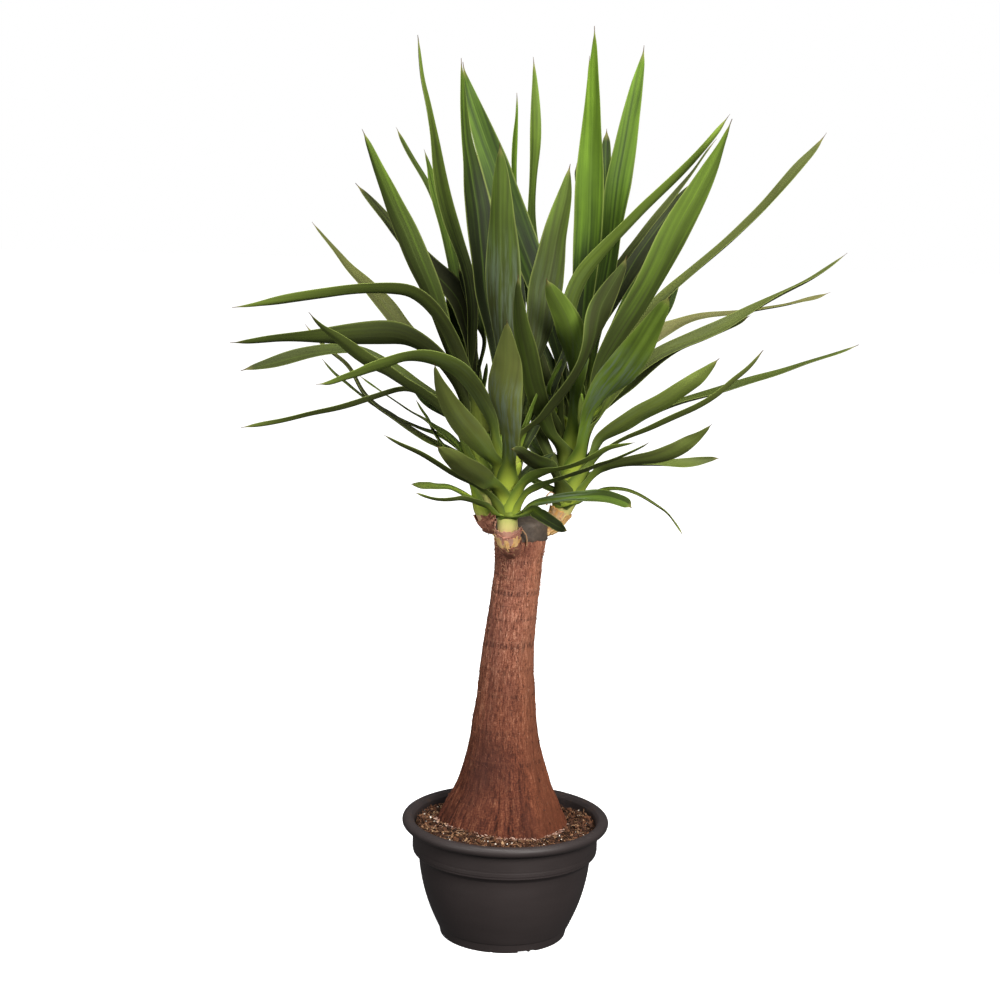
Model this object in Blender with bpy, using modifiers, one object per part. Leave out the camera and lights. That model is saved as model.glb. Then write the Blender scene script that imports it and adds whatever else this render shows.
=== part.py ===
"""Potted yucca: one thick bare trunk with three leafy shoots, in a dark plastic bowl pot.

Metres, +Z up.  Origin: middle of the pot's underside, on the surface that it stands on.
The plant is laid out as it lines up from one viewpoint in front of it (VIEW_* below):
a point is given by where it falls in a 1000 x 1000 view and how far behind the
pot's axis it lies.  Every leaf is one thin folded blade, starting on its shoot.
"""
import math

import bmesh
import bpy
import numpy as np
from mathutils import Vector
from mathutils.bvhtree import BVHTree

# ----------------------------------------------------------------- driving sizes
POT_RIM_D = 0.2206          # over the rolled rim
POT_H = 0.1297
WALL = 0.0019
GAP = 0.0003                # between pieces that touch
POT_STEPS = 40
SOIL_MID = 0.1185           # soil height on the pot's axis
SOIL_SLOPE = 0.045          # the soil lies a little higher in front
FOOT_Z = 0.082              # flat underside of the trunk, buried in the soil
FOOT_RX, FOOT_RY = 0.0648, 0.0575
TRUNK_SIDES = 24
SEAL_T = 0.0014             # wax coat on the cut top
SEAL_H = 0.026
LEAF_T = 0.0015
LEAF_W = 0.034              # full width of a grown blade
STATIONS = (0.0, 0.03, 0.07, 0.12, 0.20, 0.30, 0.42, 0.54, 0.66, 0.78, 0.90, 1.0)   # sections along a blade

# ----------------------------------------------------------------- the viewpoint
VIEW_D, VIEW_H = 2.3, 0.9032
VIEW_PITCH, VIEW_ROLL, VIEW_YAW = math.radians(10.613), math.radians(1.450), math.radians(-0.357)
VIEW_F = 2245.7
EYE = Vector((0.0, -VIEW_D, VIEW_H))
FWD = Vector((math.sin(VIEW_YAW) * math.cos(VIEW_PITCH),
              math.cos(VIEW_YAW) * math.cos(VIEW_PITCH), -math.sin(VIEW_PITCH)))
RIGHT = Vector((math.cos(VIEW_YAW), -math.sin(VIEW_YAW), 0.0))
UP = RIGHT.cross(FWD)


def seen(px, py, depth):
    """World point that falls on (px, py) of the view at y = depth."""
    a, b = px - 500.0, py - 500.0
    c, s = math.cos(VIEW_ROLL), math.sin(VIEW_ROLL)
    u, v = a * c + b * s, -a * s + b * c
    ray = FWD * VIEW_F + RIGHT * u - UP * v
    t = (depth - EYE.y) / ray.y
    return EYE + ray * t


def px_size(p):
    """Metres that one pixel of the view spans at point p."""
    return (p - EYE).dot(FWD) / VIEW_F


# ----------------------------------------------------------------- helpers
for ob in list(bpy.data.objects):
    bpy.data.objects.remove(ob, do_unlink=True)

parts = bpy.data.collections.new("potted_yucca")
tools = bpy.data.collections.new("cutters")
for col in (parts, tools):
    bpy.context.scene.collection.children.link(col)


def material(name, rgb, rough, metal=0.0):
    m = bpy.data.materials.new(name)
    m.use_nodes = True
    b = m.node_tree.nodes["Principled BSDF"]
    b.inputs["Base Color"].default_value = (*rgb, 1.0)
    b.inputs["Roughness"].default_value = rough
    b.inputs["Metallic"].default_value = metal
    m.diffuse_color = (*rgb, 1.0)
    return m


MAT_POT = material("pot_plastic", (0.045, 0.043, 0.044), 0.42)
MAT_SOIL = material("potting_soil", (0.055, 0.030, 0.018), 0.95)
MAT_BARK = material("bark", (0.235, 0.088, 0.048), 0.90)
MAT_WAX = material("wound_wax", (0.115, 0.090, 0.078), 0.60)
MAT_SHOOT = material("green_shoot", (0.20, 0.36, 0.06), 0.50)
MAT_LEAF = material("leaf", (0.055, 0.125, 0.022), 0.42)


def add_object(name, mesh, mat, col=None):
    ob = bpy.data.objects.new(name, mesh)
    (col or parts).objects.link(ob)
    if mat:
        mesh.materials.append(mat)
    return ob


def cutter(name, mesh):
    ob = add_object(name, mesh, None, tools)
    ob.hide_render = True
    ob.display_type = "WIRE"
    return ob


def cut(ob, tool):
    m = ob.modifiers.new("cut_" + tool.name, "BOOLEAN")
    m.operation = "DIFFERENCE"
    m.solver = "EXACT"
    m.object = tool


def smooth(mesh, deg=35.0):
    mesh.shade_smooth()
    mesh.set_sharp_from_angle(angle=math.radians(deg))


def turned(name, profile, mat, steps):
    """Open profile of (radius, height) run round the Z axis with a Screw."""
    me = bpy.data.meshes.new(name)
    bm = bmesh.new()
    vs = [bm.verts.new((r, 0.0, z)) for r, z in profile]
    for a, b in zip(vs, vs[1:]):
        bm.edges.new((a, b))
    bm.to_mesh(me)
    bm.free()
    ob = add_object(name, me, mat)
    m = ob.modifiers.new("turn", "SCREW")
    m.axis = "Z"
    m.steps = m.render_steps = steps
    m.use_merge_vertices = True
    m.merge_threshold = 0.00005
    m.use_normal_calculate = False
    return ob


def loft(name, rings, mat=None, col=None):
    """Closed body through rings of equal count, flat at both ends."""
    me = bpy.data.meshes.new(name)
    bm = bmesh.new()
    vr = [[bm.verts.new(p) for p in ring] for ring in rings]
    n = len(vr[0])
    for a, b in zip(vr, vr[1:]):
        for i in range(n):
            j = (i + 1) % n
            bm.faces.new((a[i], a[j], b[j], b[i]))
    bm.faces.new(list(reversed(vr[0])))
    bm.faces.new(vr[-1])
    bmesh.ops.recalc_face_normals(bm, faces=bm.faces)
    bm.to_mesh(me)
    bm.free()
    smooth(me)
    if col is tools:
        return cutter(name, me)
    return add_object(name, me, mat)


def cylinder(name, r1, r2, depth, loc, sides=24, scale=(1.0, 1.0)):
    me = bpy.data.meshes.new(name)
    bm = bmesh.new()
    bmesh.ops.create_cone(bm, cap_ends=True, segments=sides, radius1=r1, radius2=r2, depth=depth)
    for v in bm.verts:
        v.co = Vector((v.co.x * scale[0] + loc[0], v.co.y * scale[1] + loc[1], v.co.z + loc[2]))
    bm.to_mesh(me)
    bm.free()
    return cutter(name, me)


def lerp(table, x):
    """Value at x of a table of (x, value, ...) rows, each value by straight lines."""
    if x <= table[0][0]:
        return table[0][1:]
    for a, b in zip(table, table[1:]):
        if x <= b[0]:
            t = (x - a[0]) / (b[0] - a[0])
            return tuple(p + (q - p) * t for p, q in zip(a[1:], b[1:]))
    return table[-1][1:]


def catmull(pts, ts, t):
    """Smooth curve through rows pts at knots ts."""
    n = len(pts)
    i = 0
    while i < n - 2 and t > ts[i + 1]:
        i += 1
    h = ts[i + 1] - ts[i]
    u = (t - ts[i]) / h

    def slope(k):
        if k == 0:
            return (pts[1] - pts[0]) / (ts[1] - ts[0])
        if k == n - 1:
            return (pts[-1] - pts[-2]) / (ts[-1] - ts[-2])
        a = (pts[k] - pts[k - 1]) / (ts[k] - ts[k - 1])
        b = (pts[k + 1] - pts[k]) / (ts[k + 1] - ts[k])
        wa, wb = ts[k + 1] - ts[k], ts[k] - ts[k - 1]
        return (a * wa + b * wb) / (wa + wb)
    m0, m1 = slope(i) * h, slope(i + 1) * h
    u2, u3 = u * u, u * u * u
    return (pts[i] * (2 * u3 - 3 * u2 + 1) + m0 * (u3 - 2 * u2 + u)
            + pts[i + 1] * (-2 * u3 + 3 * u2) + m1 * (u3 - u2))


# ----------------------------------------------------------------- pot
R = POT_RIM_D / 2
H = POT_H
outer = [(0.0988, 0.1172), (0.0988, 0.0952), (0.0979, 0.0941), (0.0979, 0.0924),
         (0.0944, 0.0890), (0.0925, 0.0868), (0.0917, 0.0835), (0.0901, 0.0705), (0.0876, 0.0575),
         (0.0842, 0.0445), (0.0792, 0.0300), (0.0730, 0.0155), (0.0708, 0.0108), (0.0694, 0.0094),
         (0.0672, 0.0)]
inner = [(0.0, 0.0056), (0.0620, 0.0056), (0.0712, 0.0160), (0.0773, 0.0305),
         (0.0857, 0.0578), (0.0898, 0.0837), (0.0925, 0.0903), (0.0968, 0.0955), (0.0968, 0.1205)]
lip_r, lip_z, lip_a = R - 0.0055, H - 0.0054, 0.0054
lip = [(lip_r + lip_a * math.cos(math.radians(a)), lip_z + lip_a * math.sin(math.radians(a)))
       for a in (90, 58, 26, -6, -38, -70)]
lip_in = [(0.0975, H - 0.0045), (0.1000, H - 0.0011)]
under = [(0.0636, 0.0), (0.0628, 0.0028), (0.0312, 0.0028), (0.0304, 0.0), (0.0, 0.0)]
pot = turned("pot", inner + lip_in + lip + [(0.0998, H - 0.0104)] + outer + under, MAT_POT, POT_STEPS)
for k in range(6):                                   # drain holes in the recess
    a = math.radians(30 + 60 * k)
    cut(pot, cylinder("drain_%d" % k, 0.0052, 0.0052, 0.012,
                      (0.047 * math.cos(a), 0.047 * math.sin(a), 0.004), 12))
for k, (deg, half) in enumerate(((-99.5, 0.7), (-70.5, 4.2), (-61.0, 2.2), (95.0, 3.0))):
    a = math.radians(deg)                            # shallow gaps under the foot ring
    cut(pot, cylinder("foot_gap_%d" % k, 0.068 * math.radians(half) + 0.001, 0.068 * math.radians(half) + 0.001,
                      0.0034, (0.0675 * math.cos(a), 0.0675 * math.sin(a), 0.0), 12))

# ----------------------------------------------------------------- soil
soil_in = [(max(r - GAP, 0.0), z + GAP * 0.9) for r, z in inner]
soil = turned("soil", [(0.0, SOIL_MID)] + [(0.0965 * t, SOIL_MID) for t in (0.80, 1.0)]
              + list(reversed(soil_in[:-1])), MAT_SOIL, POT_STEPS)
bpy.context.view_layer.update()
soil_me = bpy.data.meshes.new_from_object(soil.evaluated_get(bpy.context.evaluated_depsgraph_get()))
for v in soil_me.vertices:
    if v.co.z > 0.110:
        r = math.hypot(v.co.x, v.co.y)
        a = math.atan2(v.co.y, v.co.x)
        v.co.z += -SOIL_SLOPE * v.co.y - 0.0016 * (r / 0.0965) ** 6 \
            + 0.0008 * math.sin(3 * a + 0.6) + 0.0005 * math.sin(7 * a)
soil.modifiers.clear()
soil.data = soil_me

# ----------------------------------------------------------------- trunk
# rows down the trunk in the view: height in the view, left edge, right edge
EDGES = [(512, 497.0, 548.5), (541, 494.8, 546.6), (556, 495.3, 543.4), (569, 494.6, 541.9),
         (592, 491.5, 539.4), (622, 486.6, 536.4), (645, 483.2, 534.4), (670, 479.6, 534.0),
         (702, 476.0, 535.6), (722, 472.0, 537.2), (746, 468.6, 540.0), (766, 463.3, 544.8),
         (785, 456.6, 550.5), (800, 448.4, 556.6), (813, 441.0, 561.6)]


def trunk_row(py):
    l, r = lerp(EDGES, py)
    a, b = seen(l, py, 0.0), seen(r, py, 0.0)
    return (a + b) / 2, (b - a).length / 2


def lobes(a, k):
    """Buttress ridges that fade with height: k 1 at the soil, 0 from half way up."""
    return 1.0 + k * (0.022 * math.sin(5 * a + 0.5) + 0.014 * math.sin(8 * a + 2.0))


rings = []
foot_c, _ = trunk_row(813)
for z, k in ((FOOT_Z, 0.0), (0.106, 0.0)):
    rings.append([Vector((foot_c.x + FOOT_RX * math.cos(2 * math.pi * i / TRUNK_SIDES),
                          FOOT_RY * math.sin(2 * math.pi * i / TRUNK_SIDES), z))
                  for i in range(TRUNK_SIDES)])
trunk_rows = [813, 800, 785, 766, 746, 722, 697, 670, 645, 622, 592, 569, 552, 542.5]
for py in trunk_rows:
    c, rad = trunk_row(py)
    f = min(1.0, max(0.0, (py - 640) / 173.0))
    flat = 1.0 - 0.115 * f ** 2                      # the foot is wider than it is deep
    ring = []
    for i in range(TRUNK_SIDES):
        a = 2 * math.pi * i / TRUNK_SIDES
        q = rad * (lobes(a, f ** 2) if py < 813 else 1.0)
        ring.append(Vector((c.x + q * math.cos(a), q * flat * math.sin(a), c.z)))
    rings.append(ring)
neck_c, neck_r = trunk_row(542.5)
top_c = seen(522.8, 518.0, 0.0)
for t, dr in ((0.02, -SEAL_T - GAP), (0.5, -SEAL_T - GAP + 0.0002), (0.93, -SEAL_T - GAP), (1.0, -0.0045)):
    c = neck_c.lerp(top_c, t)
    rings.append([Vector((c.x + (neck_r + dr) * math.cos(2 * math.pi * i / TRUNK_SIDES),
                          (neck_r + dr) * math.sin(2 * math.pi * i / TRUNK_SIDES), c.z))
                  for i in range(TRUNK_SIDES)])
trunk = loft("trunk", rings, MAT_BARK)

sock = cylinder("trunk_socket", FOOT_RX + GAP, FOOT_RX + GAP, 0.08,
                (foot_c.x, 0.0, FOOT_Z - GAP + 0.04), 48, (1.0, (FOOT_RY + GAP) / (FOOT_RX + GAP)))
cut(soil, sock)

# wax coat: a thin cap over the cut top, hung 1.4 mm thick down its side
cap_out, cap_in = [], []
for t in (0.035, 0.8, 1.0):
    c = neck_c.lerp(top_c, t)
    for rows, dr in ((cap_out, 0.0004 - 0.0016 * t ** 6), (cap_in, -SEAL_T)):
        rows.append([Vector((c.x + (neck_r + dr) * math.cos(2 * math.pi * i / TRUNK_SIDES),
                             (neck_r + dr) * math.sin(2 * math.pi * i / TRUNK_SIDES), c.z))
                     for i in range(TRUNK_SIDES)])
lift = Vector((0, 0, 0.0020))
cap_top = [[p.lerp(top_c, 0.25) + lift for p in cap_out[-1]], [p.lerp(top_c, 0.7) + lift * 1.5 for p in cap_out[-1]]]
cap_under = [[p + Vector((0, 0, GAP + 0.0001)) for p in cap_in[-1]],
             [p.lerp(top_c, 0.3) + Vector((0, 0, GAP + 0.0001)) for p in cap_in[-1]]]
seal = loft("wound_seal", list(reversed(cap_under)) + [cap_in[1], cap_in[0]]
            + cap_out + cap_top, MAT_WAX)

# ----------------------------------------------------------------- shoots
# axis of each green shoot: (view x, view y, depth), radius; the first point is in the trunk
SHOOTS = {
    "left": [((507, 531, 0.006), 0.0066), ((497, 527, 0.009), 0.0070), ((488, 521, 0.012), 0.0086),
             ((485, 512, 0.013), 0.0100), ((484, 492, 0.014), 0.0096), ((482, 462, 0.015), 0.0105),
             ((479, 430, 0.017), 0.0105), ((475, 402, 0.019), 0.0085), ((472, 380, 0.021), 0.0045)],
    "front": [((514, 551, -0.014), 0.0074), ((511, 547, -0.025), 0.0080), ((508.5, 540, -0.034), 0.0098),
              ((508, 530, -0.0395), 0.0103), ((507, 508, -0.041), 0.0108), ((507, 478, -0.042), 0.0108),
              ((508, 448, -0.042), 0.0112), ((508, 420, -0.041), 0.0092), ((507, 396, -0.039), 0.0044)],
    "right": [((533, 534, 0.004), 0.0066), ((543.5, 529.5, 0.006), 0.0072), ((554.5, 522, 0.007), 0.0086),
              ((561, 511, 0.008), 0.0102), ((568, 494, 0.009), 0.0128), ((571, 468, 0.010), 0.0128),
              ((574, 438, 0.012), 0.0122), ((577, 412, 0.014), 0.0090), ((579, 392, 0.016), 0.0044)],
}
SHOOT_SIDES = 14


def tube(name, pts, radii, sides, mat=None, col=None):
    rows = []
    side = None
    for i, p in enumerate(pts):
        a, b = pts[max(i - 1, 0)], pts[min(i + 1, len(pts) - 1)]
        t = (b - a).normalized()
        side = (Vector((0, 1, 0)) if side is None else side)
        side = (side - t * side.dot(t)).normalized()
        up = t.cross(side)
        rows.append([p + (side * math.cos(2 * math.pi * k / sides) + up * math.sin(2 * math.pi * k / sides))
                     * radii[i] for k in range(sides)])
    return loft(name, rows, mat, col)


shoot_axis = {}
for key, rows in SHOOTS.items():
    pts = [seen(*p) for p, r in rows]
    rad = [r for p, r in rows]
    shoot_axis[key] = (pts, rad)
    tube("shoot_" + key, pts, rad, SHOOT_SIDES, MAT_SHOOT)
    back = pts[0] + (pts[0] - pts[1]).normalized() * GAP * 1.3
    tool = tube("bud_socket_" + key, [back] + pts[1:6], [r + GAP * 1.5 for r in rad[:6]], SHOOT_SIDES, None, tools)
    cut(trunk, tool)
    cut(seal, tool)


def on_shoot(key, h):
    """Axis point and radius of a shoot at h: 0 at its foot, 1 at its tip."""
    pts, rad = shoot_axis[key]
    pts, rad = pts[3:], rad[3:]
    x = h * (len(pts) - 1)
    i = min(int(x), len(pts) - 2)
    t = x - i
    return pts[i].lerp(pts[i + 1], t), rad[i] + (rad[i + 1] - rad[i]) * t


# ----------------------------------------------------------------- leaves
# name: shoot, height on it, how far the tip lies behind the axis, bow, full width (m),
#       rows from tip to base: view x, view y, width seen
LEAVES = {
    "left_01": ("left", 0.50, -0.055, 0.9, 0.034,
                [(232, 307.6, 0), (250, 305.5, 2.2), (270, 302, 5.5), (290, 298.5, 7), (310, 295.5, 8.6),
                 (330, 292.5, 10), (350, 289.5, 10.5), (370, 288, 11), (390, 287.8, 12), (399, 288.5, 13),
                 (411, 290.5, 12.5), (422, 297, 13), (431, 305, 13), (440, 316, 13), (448, 329, 13),
                 (457, 348, 13), (464, 366, 12)]),
    "left_02": ("left", 0.62, 0.085, 1.0, 0.033,
                [(312, 222, 0), (323, 235, 3), (337, 251, 6), (350, 267, 8), (363, 279, 10), (377, 294, 13),
                 (390, 309, 16), (399.5, 322.5, 15), (411, 334.5, 13), (421, 345, 12), (434, 354, 12),
                 (448, 368, 11), (460, 385, 10)]),
    "left_03": ("left", 0.42, -0.02, 1.0, 0.038,
                [(230, 342.7, 0), (250, 341, 4.3), (270, 338.5, 7), (290, 337, 9.7), (310, 336.5, 13.3),
                 (330, 335.5, 17.6), (350, 334.3, 21.4), (370, 333.0, 23.4), (387, 332.5, 24.7),
                 (402, 334.0, 22), (410, 336.5, 19), (420, 342, 17), (432, 350, 15), (444, 362, 13),
                 (456, 378, 12), (465, 396, 11)]),
    "left_04": ("left", 0.36, 0.055, 1.0, 0.034,
                [(240.7, 371, 0), (250, 368.2, 4.3), (270, 363.3, 9.3), (290, 357.3, 12), (310, 352.3, 11.3),
                 (330, 349, 11.3), (350, 348.5, 9), (361, 349, 6), (377, 354.5, 4), (385, 359, 4), (395, 365, 6),
                 (407, 373, 6), (417, 381, 6), (429, 389, 6), (440, 398, 8), (455, 412, 9)]),
    "left_05": ("left", 0.30, -0.10, 0.9, 0.030,
                [(308.7, 312, 0), (322, 326, 4), (334, 334, 7), (345, 342, 9), (355, 350, 12), (370, 361, 12),
                 (390, 372, 10), (403, 381, 9), (417, 389, 9), (430, 398, 9), (444, 410, 9), (458, 425, 9)]),
    "left_06": ("left", 0.28, 0.05, 1.0, 0.03,
                [(305, 324, 0), (316, 337, 3), (330, 350, 3.5), (350, 366, 3.2), (357, 378, 3),
                 (363, 390, 3.6), (370, 398, 4), (379, 406, 4), (390, 413, 6), (403, 423, 5), (417, 433, 5),
                 (430, 441, 5), (444, 447, 5), (458, 455, 5)]),
    "left_08": ("left", 0.22, -0.03, 0.9, 0.03,
                [(240.7, 427.7, 0), (263, 424, 5), (283, 420, 6), (311, 412.5, 5.5), (338, 407, 5),
                 (357, 401.5, 4.5), (370, 397, 3.4), (381, 393.5, 3), (394, 389, 3), (404, 387, 3),
                 (415, 389, 5), (427, 395, 9), (438, 402, 11), (449, 411, 11), (459, 420, 10)]),
    "left_13": ("left", 0.10, -0.05, 1.0, 0.016,
                [(411, 484, 0), (420, 485, 6), (432, 485, 5), (439, 485.5, 3), (449, 486.5, 3), (458, 490, 3.5), (466, 495, 5)]),
    "left_t1": ("left", 0.66, 0.01, 1.0, 0.03,
                [(362, 129, 0), (369.5, 146, 6), (379, 169, 11), (389, 191, 16), (397, 210, 20),
                 (404.5, 226, 23), (413, 246, 24), (420.5, 264, 23), (431, 287, 19), (440, 314, 16),
                 (446, 335, 14), (453, 356, 12), (461, 378, 10)]),
    "left_t2": ("left", 0.74, 0.03, 1.0, 0.036,
                [(355.6, 183, 0), (364, 192, 4), (374, 203, 7), (387, 218, 10), (400, 234, 14),
                 (416, 251, 18), (432, 268, 20), (448, 283, 22), (461, 300, 22), (466, 318, 19),
                 (470, 336, 14), (472, 354, 10)]),
    "left_t3": ("left", 0.92, 0.20, 1.0, 0.026,
                [(396, 127, 0), (403, 141, 4), (413, 159, 4.5), (422, 173, 5), (430, 187, 5), (438, 204, 6),
                 (446, 224, 7), (453, 250, 8), (460, 280, 9), (466, 310, 9), (470, 335, 9)]),
    "left_t4": ("left", 0.86, 0.13, 1.0, 0.026,
                [(424, 149, 0), (430, 168, 4), (434, 185, 8), (439, 203, 10), (445, 224, 11), (450, 246, 12),
                 (455, 270, 13), (458, 300, 14), (461, 325, 13), (465, 345, 11)]),
    "left_t5": ("left", 0.80, 0.085, 1.0, 0.028,
                [(417.6, 35, 0), (420, 59, 2.4), (423, 83, 3.6), (427.5, 100, 5.2), (431.5, 121, 6.5),
                 (435, 139, 8.5), (438.3, 163, 11), (442, 185, 12.5), (448, 210, 13.2), (455, 232, 14),
                 (460, 246, 12), (465, 260, 13), (470, 280, 13), (472.5, 300, 13), (473, 322, 10.5),
                 (471.5, 345, 9.5)]),
    "front_t6": ("front", 0.86, -0.015, 1.0, 0.031,
                [(461.3, 58, 0), (462.6, 80, 3), (463.2, 95, 4.6), (464.8, 120, 8), (467, 142, 12),
                 (471.5, 165, 18), (474.5, 186, 24), (478, 205, 27), (480.5, 228, 27), (483, 250, 25),
                 (485, 272, 23), (486.5, 295, 22), (491.5, 318, 19), (496, 345, 14), (499, 372, 12)]),
    "front_t7": ("front", 0.80, -0.095, 0.9, 0.039,
                 [(500, 143, 0), (501, 158, 8), (501.5, 175, 16), (502, 198, 22), (502.5, 224, 27), (503, 244, 32),
                  (503, 270, 36), (503, 290, 35), (503.5, 312, 30), (504.5, 335, 23), (505.5, 358, 16), (506, 380, 12)]),
    "front_t8": ("front", 0.72, -0.055, 0.9, 0.0375,
                [(570.4, 164, 0), (568, 177, 6), (566, 190, 12), (560, 214, 19), (554, 238, 24),
                 (550.5, 260, 30), (546, 285, 35.5), (543, 305, 33), (540, 325, 27), (536, 345, 20),
                 (530, 365, 13), (522, 390, 10)]),
    "front_07": ("front", 0.50, -0.115, 0.9, 0.034,
                 [(316, 384.4, 0), (330, 383, 5), (341, 378, 7), (357, 373, 8), (370, 367, 9), (381, 364, 10),
                  (390, 361, 9), (399, 357, 7), (410, 355, 8), (420, 354.5, 11), (434, 357, 13), (448, 362, 15),
                  (460, 369, 17), (470, 380, 17), (479, 393, 16), (487, 408, 14), (494, 426, 11)]),
    "front_12": ("front", 0.10, -0.15, 1.0, 0.020,
                 [(384, 435, 0), (400, 444, 2.5), (420, 453, 3), (437, 463, 4), (451, 472, 5), (460, 477, 4.5),
                  (471, 482, 4.5), (481, 488, 5), (490, 496, 6)]),
    "front_14": ("front", 0.02, -0.12, 1.0, 0.016,
                 [(416, 493, 0), (424, 496, 2.5), (437, 499, 3), (452, 499, 3), (460, 498, 2.5), (471, 500, 2.5),
                  (481, 503, 3), (490, 508, 5)]),
    "front_15": ("front", 0.24, -0.215, 0.9, 0.027,
                 [(437, 446, 0), (444, 451, 10), (452, 456, 16), (461, 463, 20), (470, 469, 22), (479, 475, 21),
                  (487, 481, 18), (494, 487, 13)]),
    "front_16": ("front", 0.38, -0.175, 0.9, 0.030,
                 [(434.6, 364, 0), (437.5, 374, 6), (442, 386, 14), (447.5, 398, 19), (455, 411, 23), (464, 424, 25),
                  (473, 435, 24), (482, 446, 19), (489, 456, 14), (495, 466, 10)]),
    "front_17": ("front", 0.34, -0.185, 0.8, 0.040,
                 [(507, 320, 0), (508, 330, 8), (508, 340, 16), (508, 350, 22), (508, 361, 29), (507, 372, 33),
                  (505.5, 384, 36), (504.5, 394, 34), (505, 403, 30), (506.5, 413, 24), (508, 425, 19), (509, 440, 15),
                  (509, 458, 12)]),
    "front_m1": ("front", 0.62, -0.06, 0.9, 0.030,
                 [(626.7, 256, 0), (623, 267, 7), (616, 279, 14), (608, 293, 20), (600, 308, 24), (595, 323, 22),
                  (591, 338, 15), (585, 354, 10), (577, 370, 8), (567, 385, 7), (556, 399, 7), (545, 413, 7), (534, 428, 8)]),
    "front_r7": ("front", 0.20, -0.16, 1.0, 0.02,
                [(635, 442.5, 0), (617, 446, 2), (608, 448, 4), (603, 451, 5), (592, 457, 4.5), (575, 464, 4),
                 (560, 468, 4), (545, 471, 7), (534, 475, 9), (525, 481, 10)]),
    "front_r8": ("front", 0.14, -0.115, 1.0, 0.022,
                 [(649, 442.5, 0), (632, 451, 2), (610, 460, 2.5), (600, 463, 3.5), (588, 468, 5), (570, 474, 4),
                  (550, 481, 5), (540, 485, 7), (530, 491, 9)]),
    "front_11": ("front", 0.06, -0.135, 1.0, 0.017,
                [(632, 508.5, 0), (627.5, 503.5, 11), (619, 500, 11.5), (610, 497, 12), (600, 495.5, 13),
                 (588, 495.5, 13), (574, 496, 10), (560, 498, 9), (545, 501, 7), (532, 505, 6)]),
    "front_13": ("front", 0.0, -0.165, 1.0, 0.017,
                 [(567, 531, 0), (561, 528, 9), (553, 523, 11), (545, 518, 13), (538, 513.5, 13), (530, 511, 10)]),
    "right_m3": ("right", 0.44, -0.13, 0.9, 0.027,
                 [(518, 275, 0), (518, 290, 6), (519, 303, 10), (522, 327, 15), (527, 348, 19), (531, 368, 21),
                  (535, 388, 22), (540, 405, 20), (545, 420, 15), (552, 436, 11)]),
    "right_t6": ("right", 0.78, 0.085, 1.0, 0.034,
                [(463, 62, 0), (465.5, 76, 4), (469, 88, 9), (471, 97, 13), (477.7, 117, 19),
                 (486.3, 142, 25), (496, 168, 29), (502.5, 190, 31), (511.5, 213, 31), (524.5, 245, 29),
                 (534, 270, 26), (545, 300, 22), (553, 330, 17), (561, 360, 12)]),
    "right_t10": ("right", 0.94, 0.16, 1.0, 0.022,
                  [(533.3, 57, 0), (535, 83, 4.8), (535.7, 105, 8), (536, 126, 11), (535.6, 147, 11.3), (534.4, 163, 9.6),
                   (533, 189, 8), (532, 210, 8), (533, 235, 9), (538, 265, 10), (546, 300, 10), (556, 335, 9)]),
    "right_t11": ("right", 0.84, 0.03, 1.0, 0.033,
                [(594.3, 26, 0), (594, 50, 5), (592.8, 70, 10), (592.5, 90, 14), (592, 110, 17.5),
                 (591, 130, 20.5), (590.5, 150, 24), (590, 170, 27.5), (589.3, 187, 29.5), (589, 207, 29.5),
                 (588.5, 220, 29), (587.5, 239, 29), (586, 260, 26), (584, 285, 22), (582, 310, 18),
                 (581, 335, 14), (580, 358, 11)]),
    "right_t12": ("right", 0.80, 0.075, 1.0, 0.029,
                [(644, 45.3, 0), (642.3, 60, 4.7), (637.8, 80, 11.5), (634, 100, 15.5), (630, 120, 18.7),
                 (627, 138, 21.5), (623, 160, 24), (619, 180, 26), (615.7, 200, 24.5), (613, 220, 22),
                 (611, 240, 20), (608, 262, 20), (604, 285, 19), (599, 312, 16), (592, 345, 12)]),
    "right_t13": ("right", 0.70, -0.02, 1.0, 0.026,
                [(730, 114, 0), (718, 130, 5), (701, 150, 5.2), (682, 170, 6.5), (661, 190, 8),
                 (640, 210, 10.8), (625, 226, 12), (611, 240, 13), (597, 255, 14), (583, 272, 15),
                 (574, 290, 15), (568.5, 310, 14), (569, 335, 12), (572, 356, 11)]),
    "right_t16": ("right", 0.66, 0.1, 1.0, 0.012,
                [(716.7, 138.7, 0), (705, 153, 2), (693.5, 170, 2.6), (685.5, 180, 2.8), (677, 190, 3.6),
                 (669.5, 200, 4.5), (661, 210, 5), (653, 220, 5.5), (645, 230, 6), (638, 240, 6.5),
                 (630, 250, 7), (620, 264, 8), (611, 280, 9), (603, 305, 9), (596, 335, 9), (591, 365, 8)]),
    "right_t17": ("right", 0.60, 0.21, 1.0, 0.032,
                [(695, 180, 0), (684, 195, 10), (669, 213, 16), (652, 234, 20), (638, 253, 22),
                 (626, 272, 22), (616.5, 290, 19), (611, 300, 18.5), (605.5, 310, 17), (600, 320, 15),
                 (594.5, 330, 13.5), (590, 340, 12), (586, 362, 10)]),
    "right_t18": ("right", 0.62, -0.055, 0.9, 0.034,
                  [(732, 118.7, 0), (722.5, 141, 6), (711, 166, 16), (698, 191, 22), (683, 217, 27), (670, 241, 29),
                   (658, 265, 27), (648, 284, 25), (634, 308, 24), (620, 330, 21), (608, 350, 17), (597, 372, 13)]),
    "right_t19": ("right", 0.50, 0.03, 1.0, 0.03,
                [(826.7, 132.7, 0), (813, 151, 6), (800, 164, 9), (791, 175, 9.5), (779, 189, 8.5),
                 (764.5, 205.5, 7.5), (745.5, 224, 7.5), (726, 242, 8), (702.5, 261.5, 8.5),
                 (681, 279.5, 8.5), (665, 293, 8.5), (652, 306, 8), (638, 322, 8), (622, 343, 9),
                 (607, 368, 10)]),
    "right_01": ("right", 0.46, 0.09, 1.0, 0.03,
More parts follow.
